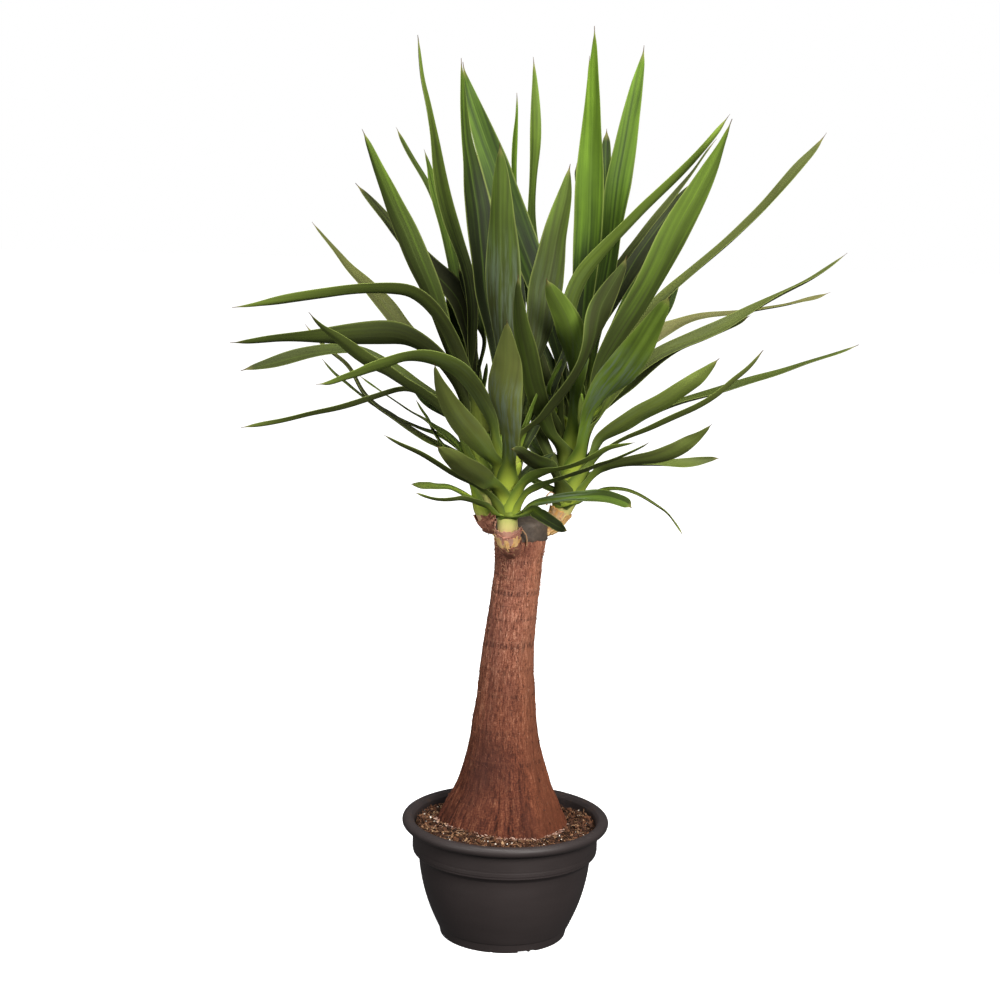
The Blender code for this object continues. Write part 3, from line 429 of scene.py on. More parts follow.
LEAVES = {
    "left_01": ("left", 0.50, -0.055, 0.9, 0.034,
                [(232, 307.6, 0), (250, 305.5, 2.2), (270, 302, 5.5), (290, 298.5, 7), (310, 295.5, 8.6),
                 (330, 292.5, 10), (350, 289.5, 10.5), (370, 288, 11), (390, 287.8, 12), (399, 288.5, 13),
                 (411, 290.5, 12.5), (422, 297, 13), (431, 305, 13), (440, 316, 13), (448, 329, 13),
                 (457, 348, 13), (464, 366, 12)]),
    "left_02": ("left", 0.62, 0.085, 1.0, 0.033,
                [(312, 222, 0), (323, 235, 3), (337, 251, 6), (350, 267, 8), (363, 279, 10), (377, 294, 13),
                 (390, 309, 16), (399.5, 322.5, 15), (411, 334.5, 13), (421, 345, 12), (434, 354, 12),
                 (448, 368, 11), (460, 385, 10)]),
    "left_03": ("left", 0.42, -0.02, 1.0, 0.038,
                [(230, 342.7, 0), (250, 341, 4.3), (270, 338.5, 7), (290, 337, 9.7), (310, 336.5, 13.3),
                 (330, 335.5, 17.6), (350, 334.3, 21.4), (370, 333.0, 23.4), (387, 332.5, 24.7),
                 (402, 334.0, 22), (410, 336.5, 19), (420, 342, 17), (432, 350, 15), (444, 362, 13),
                 (456, 378, 12), (465, 396, 11)]),
    "left_04": ("left", 0.36, 0.055, 1.0, 0.034,
                [(240.7, 371, 0), (250, 368.2, 4.3), (270, 363.3, 9.3), (290, 357.3, 12), (310, 352.3, 11.3),
                 (330, 349, 11.3), (350, 348.5, 9), (361, 349, 6), (377, 354.5, 4), (385, 359, 4), (395, 365, 6),
                 (407, 373, 6), (417, 381, 6), (429, 389, 6), (440, 398, 8), (455, 412, 9)]),
    "left_05": ("left", 0.30, -0.10, 0.9, 0.030,
                [(308.7, 312, 0), (322, 326, 4), (334, 334, 7), (345, 342, 9), (355, 350, 12), (370, 361, 12),
                 (390, 372, 10), (403, 381, 9), (417, 389, 9), (430, 398, 9), (444, 410, 9), (458, 425, 9)]),
    "left_06": ("left", 0.28, 0.05, 1.0, 0.03,
                [(305, 324, 0), (316, 337, 3), (330, 350, 3.5), (350, 366, 3.2), (357, 378, 3),
                 (363, 390, 3.6), (370, 398, 4), (379, 406, 4), (390, 413, 6), (403, 423, 5), (417, 433, 5),
                 (430, 441, 5), (444, 447, 5), (458, 455, 5)]),
    "left_08": ("left", 0.22, -0.03, 0.9, 0.03,
                [(240.7, 427.7, 0), (263, 424, 5), (283, 420, 6), (311, 412.5, 5.5), (338, 407, 5),
                 (357, 401.5, 4.5), (370, 397, 3.4), (381, 393.5, 3), (394, 389, 3), (404, 387, 3),
                 (415, 389, 5), (427, 395, 9), (438, 402, 11), (449, 411, 11), (459, 420, 10)]),
    "left_13": ("left", 0.10, -0.05, 1.0, 0.016,
                [(411, 484, 0), (420, 485, 6), (432, 485, 5), (439, 485.5, 3), (449, 486.5, 3), (458, 490, 3.5), (466, 495, 5)]),
    "left_t1": ("left", 0.66, 0.01, 1.0, 0.03,
                [(362, 129, 0), (369.5, 146, 6), (379, 169, 11), (389, 191, 16), (397, 210, 20),
                 (404.5, 226, 23), (413, 246, 24), (420.5, 264, 23), (431, 287, 19), (440, 314, 16),
                 (446, 335, 14), (453, 356, 12), (461, 378, 10)]),
    "left_t2": ("left", 0.74, 0.03, 1.0, 0.036,
                [(355.6, 183, 0), (364, 192, 4), (374, 203, 7), (387, 218, 10), (400, 234, 14),
                 (416, 251, 18), (432, 268, 20), (448, 283, 22), (461, 300, 22), (466, 318, 19),
                 (470, 336, 14), (472, 354, 10)]),
    "left_t3": ("left", 0.92, 0.20, 1.0, 0.026,
                [(396, 127, 0), (403, 141, 4), (413, 159, 4.5), (422, 173, 5), (430, 187, 5), (438, 204, 6),
                 (446, 224, 7), (453, 250, 8), (460, 280, 9), (466, 310, 9), (470, 335, 9)]),
    "left_t4": ("left", 0.86, 0.13, 1.0, 0.026,
                [(424, 149, 0), (430, 168, 4), (434, 185, 8), (439, 203, 10), (445, 224, 11), (450, 246, 12),
                 (455, 270, 13), (458, 300, 14), (461, 325, 13), (465, 345, 11)]),
    "left_t5": ("left", 0.80, 0.085, 1.0, 0.028,
                [(417.6, 35, 0), (420, 59, 2.4), (423, 83, 3.6), (427.5, 100, 5.2), (431.5, 121, 6.5),
                 (435, 139, 8.5), (438.3, 163, 11), (442, 185, 12.5), (448, 210, 13.2), (455, 232, 14),
                 (460, 246, 12), (465, 260, 13), (470, 280, 13), (472.5, 300, 13), (473, 322, 10.5),
                 (471.5, 345, 9.5)]),
    "front_t6": ("front", 0.86, -0.015, 1.0, 0.031,
                [(461.3, 58, 0), (462.6, 80, 3), (463.2, 95, 4.6), (464.8, 120, 8), (467, 142, 12),
                 (471.5, 165, 18), (474.5, 186, 24), (478, 205, 27), (480.5, 228, 27), (483, 250, 25),
                 (485, 272, 23), (486.5, 295, 22), (491.5, 318, 19), (496, 345, 14), (499, 372, 12)]),
    "front_t7": ("front", 0.80, -0.095, 0.9, 0.039,
                 [(500, 143, 0), (501, 158, 8), (501.5, 175, 16), (502, 198, 22), (502.5, 224, 27), (503, 244, 32),
                  (503, 270, 36), (503, 290, 35), (503.5, 312, 30), (504.5, 335, 23), (505.5, 358, 16), (506, 380, 12)]),
    "front_t8": ("front", 0.72, -0.055, 0.9, 0.0375,
                [(570.4, 164, 0), (568, 177, 6), (566, 190, 12), (560, 214, 19), (554, 238, 24),
                 (550.5, 260, 30), (546, 285, 35.5), (543, 305, 33), (540, 325, 27), (536, 345, 20),
                 (530, 365, 13), (522, 390, 10)]),
    "front_07": ("front", 0.50, -0.115, 0.9, 0.034,
                 [(316, 384.4, 0), (330, 383, 5), (341, 378, 7), (357, 373, 8), (370, 367, 9), (381, 364, 10),
                  (390, 361, 9), (399, 357, 7), (410, 355, 8), (420, 354.5, 11), (434, 357, 13), (448, 362, 15),
                  (460, 369, 17), (470, 380, 17), (479, 393, 16), (487, 408, 14), (494, 426, 11)]),
    "front_12": ("front", 0.10, -0.15, 1.0, 0.020,
                 [(384, 435, 0), (400, 444, 2.5), (420, 453, 3), (437, 463, 4), (451, 472, 5), (460, 477, 4.5),
                  (471, 482, 4.5), (481, 488, 5), (490, 496, 6)]),
    "front_14": ("front", 0.02, -0.12, 1.0, 0.016,
                 [(416, 493, 0), (424, 496, 2.5), (437, 499, 3), (452, 499, 3), (460, 498, 2.5), (471, 500, 2.5),
                  (481, 503, 3), (490, 508, 5)]),
    "front_15": ("front", 0.24, -0.215, 0.9, 0.027,
                 [(437, 446, 0), (444, 451, 10), (452, 456, 16), (461, 463, 20), (470, 469, 22), (479, 475, 21),
                  (487, 481, 18), (494, 487, 13)]),
    "front_16": ("front", 0.38, -0.175, 0.9, 0.030,
                 [(434.6, 364, 0), (437.5, 374, 6), (442, 386, 14), (447.5, 398, 19), (455, 411, 23), (464, 424, 25),
                  (473, 435, 24), (482, 446, 19), (489, 456, 14), (495, 466, 10)]),
    "front_17": ("front", 0.34, -0.185, 0.8, 0.040,
                 [(507, 320, 0), (508, 330, 8), (508, 340, 16), (508, 350, 22), (508, 361, 29), (507, 372, 33),
                  (505.5, 384, 36), (504.5, 394, 34), (505, 403, 30), (506.5, 413, 24), (508, 425, 19), (509, 440, 15),
                  (509, 458, 12)]),
    "front_m1": ("front", 0.62, -0.06, 0.9, 0.030,
                 [(626.7, 256, 0), (623, 267, 7), (616, 279, 14), (608, 293, 20), (600, 308, 24), (595, 323, 22),
                  (591, 338, 15), (585, 354, 10), (577, 370, 8), (567, 385, 7), (556, 399, 7), (545, 413, 7), (534, 428, 8)]),
    "front_r7": ("front", 0.20, -0.16, 1.0, 0.02,
                [(635, 442.5, 0), (617, 446, 2), (608, 448, 4), (603, 451, 5), (592, 457, 4.5), (575, 464, 4),
                 (560, 468, 4), (545, 471, 7), (534, 475, 9), (525, 481, 10)]),
    "front_r8": ("front", 0.14, -0.115, 1.0, 0.022,
                 [(649, 442.5, 0), (632, 451, 2), (610, 460, 2.5), (600, 463, 3.5), (588, 468, 5), (570, 474, 4),
                  (550, 481, 5), (540, 485, 7), (530, 491, 9)]),
    "front_11": ("front", 0.06, -0.135, 1.0, 0.017,
                [(632, 508.5, 0), (627.5, 503.5, 11), (619, 500, 11.5), (610, 497, 12), (600, 495.5, 13),
                 (588, 495.5, 13), (574, 496, 10), (560, 498, 9), (545, 501, 7), (532, 505, 6)]),
    "front_13": ("front", 0.0, -0.165, 1.0, 0.017,
                 [(567, 531, 0), (561, 528, 9), (553, 523, 11), (545, 518, 13), (538, 513.5, 13), (530, 511, 10)]),
    "right_m3": ("right", 0.44, -0.13, 0.9, 0.027,
                 [(518, 275, 0), (518, 290, 6), (519, 303, 10), (522, 327, 15), (527, 348, 19), (531, 368, 21),
                  (535, 388, 22), (540, 405, 20), (545, 420, 15), (552, 436, 11)]),
    "right_t6": ("right", 0.78, 0.085, 1.0, 0.034,
                [(463, 62, 0), (465.5, 76, 4), (469, 88, 9), (471, 97, 13), (477.7, 117, 19),
                 (486.3, 142, 25), (496, 168, 29), (502.5, 190, 31), (511.5, 213, 31), (524.5, 245, 29),
                 (534, 270, 26), (545, 300, 22), (553, 330, 17), (561, 360, 12)]),
    "right_t10": ("right", 0.94, 0.16, 1.0, 0.022,
                  [(533.3, 57, 0), (535, 83, 4.8), (535.7, 105, 8), (536, 126, 11), (535.6, 147, 11.3), (534.4, 163, 9.6),
                   (533, 189, 8), (532, 210, 8), (533, 235, 9), (538, 265, 10), (546, 300, 10), (556, 335, 9)]),
    "right_t11": ("right", 0.84, 0.03, 1.0, 0.033,
                [(594.3, 26, 0), (594, 50, 5), (592.8, 70, 10), (592.5, 90, 14), (592, 110, 17.5),
                 (591, 130, 20.5), (590.5, 150, 24), (590, 170, 27.5), (589.3, 187, 29.5), (589, 207, 29.5),
                 (588.5, 220, 29), (587.5, 239, 29), (586, 260, 26), (584, 285, 22), (582, 310, 18),
                 (581, 335, 14), (580, 358, 11)]),
    "right_t12": ("right", 0.80, 0.075, 1.0, 0.029,
                [(644, 45.3, 0), (642.3, 60, 4.7), (637.8, 80, 11.5), (634, 100, 15.5), (630, 120, 18.7),
                 (627, 138, 21.5), (623, 160, 24), (619, 180, 26), (615.7, 200, 24.5), (613, 220, 22),
                 (611, 240, 20), (608, 262, 20), (604, 285, 19), (599, 312, 16), (592, 345, 12)]),
    "right_t13": ("right", 0.70, -0.02, 1.0, 0.026,
                [(730, 114, 0), (718, 130, 5), (701, 150, 5.2), (682, 170, 6.5), (661, 190, 8),
                 (640, 210, 10.8), (625, 226, 12), (611, 240, 13), (597, 255, 14), (583, 272, 15),
                 (574, 290, 15), (568.5, 310, 14), (569, 335, 12), (572, 356, 11)]),
    "right_t16": ("right", 0.66, 0.1, 1.0, 0.012,
                [(716.7, 138.7, 0), (705, 153, 2), (693.5, 170, 2.6), (685.5, 180, 2.8), (677, 190, 3.6),
                 (669.5, 200, 4.5), (661, 210, 5), (653, 220, 5.5), (645, 230, 6), (638, 240, 6.5),
                 (630, 250, 7), (620, 264, 8), (611, 280, 9), (603, 305, 9), (596, 335, 9), (591, 365, 8)]),
    "right_t17": ("right", 0.60, 0.21, 1.0, 0.032,
                [(695, 180, 0), (684, 195, 10), (669, 213, 16), (652, 234, 20), (638, 253, 22),
                 (626, 272, 22), (616.5, 290, 19), (611, 300, 18.5), (605.5, 310, 17), (600, 320, 15),
                 (594.5, 330, 13.5), (590, 340, 12), (586, 362, 10)]),
    "right_t18": ("right", 0.62, -0.055, 0.9, 0.034,
                  [(732, 118.7, 0), (722.5, 141, 6), (711, 166, 16), (698, 191, 22), (683, 217, 27), (670, 241, 29),
                   (658, 265, 27), (648, 284, 25), (634, 308, 24), (620, 330, 21), (608, 350, 17), (597, 372, 13)]),
    "right_t19": ("right", 0.50, 0.03, 1.0, 0.03,
                [(826.7, 132.7, 0), (813, 151, 6), (800, 164, 9), (791, 175, 9.5), (779, 189, 8.5),
                 (764.5, 205.5, 7.5), (745.5, 224, 7.5), (726, 242, 8), (702.5, 261.5, 8.5),
                 (681, 279.5, 8.5), (665, 293, 8.5), (652, 306, 8), (638, 322, 8), (622, 343, 9),
                 (607, 368, 10)]),
    "right_01": ("right", 0.46, 0.09, 1.0, 0.03,
                [(847.3, 253, 0), (827, 268, 2.5), (808, 280, 2.5), (789, 289, 3), (773, 297, 5),
                 (760, 304, 7), (744, 313, 10), (727, 323, 12), (707, 332, 13), (687, 340, 12),
                 (662, 351, 12), (640, 365, 12), (620, 383, 11)]),
    "right_03": ("right", 0.40, 0.03, 1.0, 0.03,
                [(750.7, 315.5, 0), (740, 320.5, 6.5), (725, 325.6, 10.5), (700, 335.5, 12), (679, 343, 12.5),
                 (660, 355, 12), (644, 368, 13), (628, 382.5, 15), (612, 397, 12), (599.5, 411, 9), (589.5, 425, 7)]),
    "right_02": ("right", 0.54, 0.15, 1.0, 0.017,
                [(830.7, 292, 0), (821, 296, 4), (808, 299, 4), (797, 302, 1.6), (784, 305, 1.2),
                 (765, 308, 2), (740, 312, 3), (720, 314, 4), (707, 315, 4), (695, 317, 5), (685, 320, 6),
                 (675, 324, 9), (660, 331, 16), (645, 341, 17), (630, 354, 15), (615, 374, 12)]),
    "right_04": ("right", 0.26, -0.085, 0.9, 0.028,
                [(719.4, 358.5, 0), (699, 377, 14), (680, 390, 16), (660, 403, 17), (640, 413, 16),
                 (622, 424.5, 15), (609, 432, 11), (598, 440, 8)]),
    "right_05": ("right", 0.32, 0.045, 1.0, 0.03,
                [(859, 344.5, 0), (839, 352, 3), (809, 361, 3.5), (778, 372, 5), (747, 381, 5), (726, 388, 5),
                 (701, 395, 5), (681, 400.5, 5), (663, 407.5, 5), (645, 416, 6), (628, 424, 7), (612, 433, 7),
                 (600, 439, 6)]),
    "right_06": ("right", 0.20, -0.03, 1.0, 0.026,
                [(763.4, 350, 0), (755, 361, 2), (746, 370.5, 2.5), (732, 381, 3), (720, 392, 4),
                 (701, 404, 5), (671, 417.5, 5), (647, 428.5, 4.5), (624, 437.5, 4), (608, 446.5, 4),
                 (594, 458, 4)]),
    "right_09": ("right", 0.10, -0.1, 1.0, 0.022,
                [(712, 424, 0), (704, 431, 5), (689, 442, 14), (672, 451, 16), (653, 457, 14),
                 (636, 459.5, 11), (618, 463, 9), (608, 465.5, 7), (598, 469.5, 7)]),
    "right_10": ("right", 0.08, 0.04, 1.0, 0.018,
                [(720, 458, 0), (711, 459, 5), (700, 461, 8), (685, 463, 9), (670, 463.5, 7), (655, 463.5, 4),
                 (640, 463.5, 4), (625, 464, 4), (612, 466.5, 5), (600, 471, 5), (590, 477, 6)]),
    "right_12": ("right", 0.0, -0.06, 1.0, 0.014,
                 [(682.6, 535, 0), (676, 524, 2), (669, 514, 2), (654, 503, 3), (641, 495, 3), (629, 490, 3),
                  (612, 488, 3), (600, 490, 4)]),
    "right_m2": ("right", 0.50, -0.115, 0.9, 0.034,
                 [(546, 278.7, 0), (553, 294, 17), (560, 306, 22), (567, 320, 27), (572, 334, 29), (575, 348, 27),
                  (576, 362, 21), (576, 378, 15), (575, 395, 11)]),
    "right_m5": ("right", 0.36, -0.175, 0.85, 0.038,
                 [(670, 296, 0), (664, 306, 13), (656, 319, 18), (648, 331, 24), (640, 344, 30), (630, 358, 33),
                  (620, 371, 33), (609, 383, 28), (600, 394, 20), (592, 406, 14), (586, 420, 11)]),
    "right_f1": ("right", 0.14, -0.20, 0.9, 0.020,
                 [(511, 449, 0), (518, 450, 9), (527, 456, 14), (537, 462, 16), (546, 466, 14), (554, 470, 9)]),
    # behind the crown
    "left_b1": ("left", 0.60, 0.24, 0.9, 0.034,
                [(450, 262, 0), (453, 276, 5), (457, 292, 9), (461, 308, 11), (465, 326, 12), (469, 346, 11),
                 (473, 368, 10)]),
    "left_b2": ("left", 0.40, 0.20, 0.9, 0.032,
                [(470, 306, 0), (471, 320, 5), (472, 336, 9), (473, 354, 11), (475, 372, 11), (477, 390, 9)]),
    "right_b3": ("right", 0.56, 0.25, 0.9, 0.034,
                 [(650, 250, 0), (643, 266, 5), (635, 284, 9), (626, 304, 11), (616, 326, 12), (606, 348, 11),
                  (597, 370, 10)]),
    "right_b4": ("right", 0.44, 0.21, 0.9, 0.033,
                 [(588, 238, 0), (587, 256, 5), (586, 276, 9), (584, 298, 11), (582, 322, 12), (580, 346, 11),
                  (578, 370, 10)]),
}



# ----------------------------------------------------------------- leaf material
def leaf_material():
    s = Shade("leaf_blade")
    u, along, share = s.split(s.attr("leaf_place", "Vector"))
    # dust: amount of dust and lime bloom, which also carries a painted blue-grey sheen
    tone, dust, side = s.split(s.attr("leaf_kind", "Vector"))
    olive, seed, base = s.split(s.attr("leaf_more", "Vector"))
    side_painted_light, tip_painted_light, across = s.split(s.attr("leaf_light", "Vector"))     # across: metres from the midrib
    au = s.math("ABSOLUTE", u)
    calm = s.attr("leaf_calm")
    fine = s.noise(s.join(s.math("MULTIPLY_ADD", across, 380.0, seed), s.math("MULTIPLY", along, 5.0), seed), 1.0, 2.0, 0.55)
    streak = s.noise(s.join(s.math("MULTIPLY_ADD", across, 190.0, seed), s.math("MULTIPLY", along, 2.6), 3.1), 1.0, 1.0, 0.5)
    broad = s.noise(s.join(s.math("MULTIPLY_ADD", across, 95.0, seed), s.math("MULTIPLY", along, 8.0), seed), 1.0, 2.0, 0.5)
    patch = s.noise(s.join(s.math("MULTIPLY_ADD", across, 40.0, seed), s.math("MULTIPLY", along, 20.0), seed), 1.0, 3.0, 0.55)
    t = s.math("MULTIPLY_ADD", s.math("SUBTRACT", fine, 0.5), s.math("MULTIPLY", calm, 0.50), tone)
    t = s.math("MULTIPLY_ADD", s.math("SUBTRACT", streak, 0.5), s.math("MULTIPLY", calm, 0.50), t)
    t = s.math("MULTIPLY_ADD", s.math("SUBTRACT", broad, 0.5), s.math("MULTIPLY", calm, 0.40), t)
    t = s.math("MULTIPLY_ADD", s.math("SUBTRACT", patch, 0.5), 0.26, t)
    # painted light: one side of the blade lighter, and the blade lighter towards its tip
    t = s.math("MULTIPLY_ADD", side_painted_light, u, t)
    t = s.math("MULTIPLY_ADD", tip_painted_light, s.math("SUBTRACT", share, 0.55), t)
    main = s.ramp(t, [(0.0, (0.0090, 0.0140, 0.0035)), (0.28, (0.029, 0.053, 0.0065)), (0.60, (0.084, 0.150, 0.0125)),
                      (1.0, (0.206, 0.338, 0.034))])
    main = s.mix(s.math("MULTIPLY", olive, 0.75, clamp=True), main, s.mix(s.step(t, -0.1, 0.7), (0.030, 0.028, 0.013), (0.142, 0.132, 0.048)))
    under = s.mix(0.25, main, (0.096, 0.104, 0.030))
    main = s.mix(side, under, main)
    # slight midrib
    rib = s.math("MULTIPLY", s.step(au, 0.09, 0.0), 0.22)
    main = s.mix(rib, main, s.mix(side, (0.11, 0.14, 0.042), (0.12, 0.19, 0.030)))
    # foot: bright green, then yellow-green, then pale; its sides are darker, painted shade where the sheaths overlap
    wob = s.math("MULTIPLY_ADD", s.math("SUBTRACT", broad, 0.5), 0.030, along)
    wob = s.math("MULTIPLY_ADD", au, 0.018, wob)
    f1 = s.math("MULTIPLY", s.step(wob, 0.105, 0.030), base, clamp=True)
    sheath_mid_unshaded = s.step(au, 0.80, 0.15)
    main = s.mix(s.math("MULTIPLY", f1, 0.80), main, s.mix(s.math("MULTIPLY", side, sheath_mid_unshaded), (0.075, 0.122, 0.014), (0.175, 0.262, 0.020)))
    f2 = s.math("MULTIPLY", s.step(wob, 0.052, 0.006), base, clamp=True)
    main = s.mix(s.math("MULTIPLY", f2, 0.75), main, s.mix(sheath_mid_unshaded, (0.120, 0.170, 0.022), (0.350, 0.420, 0.046)))
    f3 = s.math("MULTIPLY", s.step(wob, 0.004, -0.016), base, clamp=True)
    main = s.mix(s.math("MULTIPLY", f3, 0.70), main, (0.500, 0.500, 0.140))
    # thin pale margin, brown point
    edge = s.step(au, 0.88, 0.99)
    main = s.mix(s.math("MULTIPLY", edge, 0.45), main, (0.230, 0.275, 0.070))
    tipn = s.math("MULTIPLY_ADD", s.math("SUBTRACT", broad, 0.5), 0.02, share)
    main = s.mix(s.math("MULTIPLY", s.step(tipn, 0.945, 0.985), 0.6), main, (0.17, 0.15, 0.05))
    main = s.mix(s.step(tipn, 0.978, 0.994), main, (0.075, 0.042, 0.020))
    # dust and lime bloom, and a painted blue-grey sheen, in lengthwise streaks
    bloom_sheen_noise = s.noise(s.join(s.math("MULTIPLY_ADD", across, 300.0, seed), s.math("MULTIPLY", along, 22.0), seed), 1.0, 3.0, 0.60)
    bloom_sheen_mask = s.math("MULTIPLY", s.step(bloom_sheen_noise, 0.40, 0.66), dust, clamp=True)
    bloom_sheen_mask = s.math("MULTIPLY", bloom_sheen_mask, s.math("MULTIPLY", s.step(share, 0.74, 0.56), s.step(share, 0.12, 0.28)))
    main = s.mix(s.math("MULTIPLY", bloom_sheen_mask, 0.62), main, (0.165, 0.215, 0.170))
    rough = s.math("MULTIPLY_ADD", fine, 0.08, 0.56)
    rough = s.math("MULTIPLY_ADD", bloom_sheen_mask, 0.15, rough)
    rough = s.math("MULTIPLY_ADD", s.math("SUBTRACT", 1.0, side), 0.10, rough)
    swell = s.noise(s.join(s.math("MULTIPLY_ADD", across, 55.0, seed), s.math("MULTIPLY", along, 6.0), seed), 1.0, 0.0, 0.5)
    swell = s.math("MULTIPLY", swell, calm)
    return s.done(main, rough, s.bump(swell, 0.28, 0.0010), Specular_IOR_Level=0.13)


MAT_LEAF = leaf_material()

# ----------------------------------------------------------------- blades
SHOOT_AXIS = {k: ([seen(*p) for p, r in rows], [r for p, r in rows]) for k, rows in SHOOTS.items()}


def on_shoot(key, h):
    pts, rad = SHOOT_AXIS[key]
    pts, rad = pts[3:], rad[3:]
    x = h * (len(pts) - 1)
    i = min(int(x), len(pts) - 2)
    t = x - i
    return pts[i].lerp(pts[i + 1], t), rad[i] + (rad[i + 1] - rad[i]) * t


def shoot_at(key, z):
    """Axis x, y and radius of a shoot at heights z (arrays)."""
    pts, rad = SHOOT_AXIS[key]
    zz = [p.z for p in pts]
    return (np.interp(z, zz, [p.x for p in pts]), np.interp(z, zz, [p.y for p in pts]), np.interp(z, zz, rad))


def blade_share(s):
    return lerp(((0.0, 0.22), (0.06, 0.24), (0.12, 0.32), (0.20, 0.52), (0.34, 0.84), (0.48, 1.0), (0.60, 0.97),
                 (0.74, 0.78), (0.86, 0.50), (0.94, 0.26), (1.0, 0.035)), s)[0]


def leaf_run(spec, dh, dd, turn):
    """Knots of a blade's middle line from its foot to its tip."""
    shoot, h, tip_y, bow, full, rows = spec
    h = min(max(h + dh, 0.0), 0.97)
    axis, rad = on_shoot(shoot, h)
    rows = list(reversed(rows))
    run = [0.0]
    for a, b in zip(rows, rows[1:]):
        run.append(run[-1] + math.hypot(b[0] - a[0], b[1] - a[1]))
    start = run[-1] * 0.16
    pts, wid = [], []
    for r, d in zip(rows, run):
        f = (d + start) / (run[-1] + start)
        y = axis.y + (tip_y + dd - axis.y) * f ** bow
        p = seen(r[0], r[1], y)
        pts.append(p)
        wid.append(max(r[2], 0.9) * px_size(p))
    out = pts[0] - axis
    out.z = 0.0
    far = pts[-1] - axis
    far.z = 0.0
    out = (out.normalized() * 0.5 + far.normalized() * 0.5)
    out.normalize()
    out = Vector((out.x * math.cos(turn) - out.y * math.sin(turn),
                  out.x * math.sin(turn) + out.y * math.cos(turn), 0.0))
    foot = axis + out * (rad + 0.0018)
    if (pts[0] - foot).length > 0.016:
        pts.insert(0, foot + (pts[0] - foot) * 0.38 + out * 0.002
                   + Vector((0, 0, 0.06 * (pts[0] - foot).length)))
        wid.insert(0, full * 0.24)
    pts.insert(0, foot)
    wid.insert(0, full * 0.22)
    ts = [0.0]
    for a, b in zip(pts, pts[1:]):
        ts.append(ts[-1] + max((b - a).length, 1e-5))
    return pts, wid, ts, axis, rad, out, full


def leaf_lines(run, stations, way=None):
    pts, wid, ts, axis, rad, out, full = run
    length = ts[-1]
    wt_ = list(zip(ts, wid))
    frames = []
    for s in stations:
        t = s * length
        p = catmull(pts, ts, t)
        e = length * 0.01
        d = (catmull(pts, ts, min(t + e, length)) - catmull(pts, ts, max(t - e, 0.0))).normalized()
        w = lerp(wt_, t)[0]
        view = (p - EYE).normalized()
        pa = d.cross(view).normalized()
        q = pa.cross(d).normalized()
        if q.dot(view) < 0:
            q = -q
        wr = max(full * blade_share(s), w)
        c = min(1.0, w / wr)
        sn = math.sqrt(max(0.0, 1.0 - c * c))
        inward = Vector((axis.x - p.x, axis.y - p.y, 0.0)).normalized() + Vector((0, 0, 0.9))
        nat = (inward - d * inward.dot(d)).normalized()
        frames.append((s, p, d, wr, pa, q, c, sn, nat))
    if way is None:
        best = None
        for sq in (1, -1):
            for sp in (1, -1):
                score = sum(f[8].dot(f[5] * f[6] * sq + f[4] * f[7] * sp) * f[3] for f in frames[2:])
                if best is None or score > best[0]:
                    best = (score, sq, sp)
        way = best[1:]
    sq, sp = way
    res = []
    for s, p, d, wr, pa, q, c, sn, nat in frames:
        n = q * c * sq + pa * sn * sp
        if s < 0.2:
            k = s / 0.2
            base = -out - d * (-out).dot(d)
            n = (base.normalized() * (1 - k) + n * k)
        n = (n - d * n.dot(d)).normalized()
        res.append((s, p, d, d.cross(n).normalized(), n, wr * 0.5))
    return res, way


def strip_points(lines):
    v = []
    for s, p, d, a, n, hw in lines:
        v += [p - a * hw, p - n * (hw * 0.22), p + a * hw]
    return v


TRIES = sorted(((0.03 * i, 0.008 * j, 0.35 * k) for i in range(-7, 8) for j in range(-10, 11)
                for k in (-3, -2, -1, 0, 1, 2, 3)),
               key=lambda c: (round(abs(c[0]) / 0.03 * 0.8 + abs(c[1]) / 0.008 + abs(c[2]) / 0.35 * 0.9, 4), c))


def find_placing(key, spec):
    """How the frame's own blade was shifted: read from where its corners lie."""
    vs = NODES["leaf_" + key].data.vertices
    kd = KDTree(len(vs))
    for i, v in enumerate(vs):
        kd.insert(v.co, i)
    kd.balance()
    best = (9.0, (0.0, 0.0, 0.0))
    tip_row = spec[5][0]
    for c in TRIES:
        dh, dd, turn = c
        h = min(max(spec[1] + dh, 0.0), 0.97)
        axis, rad = on_shoot(spec[0], h)
        tip = seen(tip_row[0], tip_row[1], axis.y + (spec[2] + dd - axis.y))
        if kd.find(tip)[2] > 0.0022:
            continue
        run = leaf_run(spec, dh, dd, turn)
        if kd.find(run[0][0])[2] > 0.0026:
            continue
        lines, way = leaf_lines(run, STATIONS)
        err = max(kd.find(p)[2] for p in strip_points(lines))
        if err < best[0]:
            best = (err, c)
        if err < 0.00095:
            break
    return best


LOWEST = {"left": SHOOT_AXIS["left"][0][3].z - 0.002, "front": seen(507, 509, -0.041).z, "right": seen(567, 499, 0.009).z}
FINE = list(np.linspace(0.0, 0.16, 17)) + list(np.linspace(0.16, 0.92, 40))[1:] + [0.935, 0.95, 0.965, 0.978, 0.988, 0.995, 1.0]
COLS = 13


def smooth_rows(a, times, keep=2):
    a = a.copy()
    for _ in range(times):
        b = a.copy()
        b[1:-1] = a[:-2] * 0.25 + a[1:-1] * 0.5 + a[2:] * 0.25
        b[:keep] = a[:keep]
        a = b
    return a


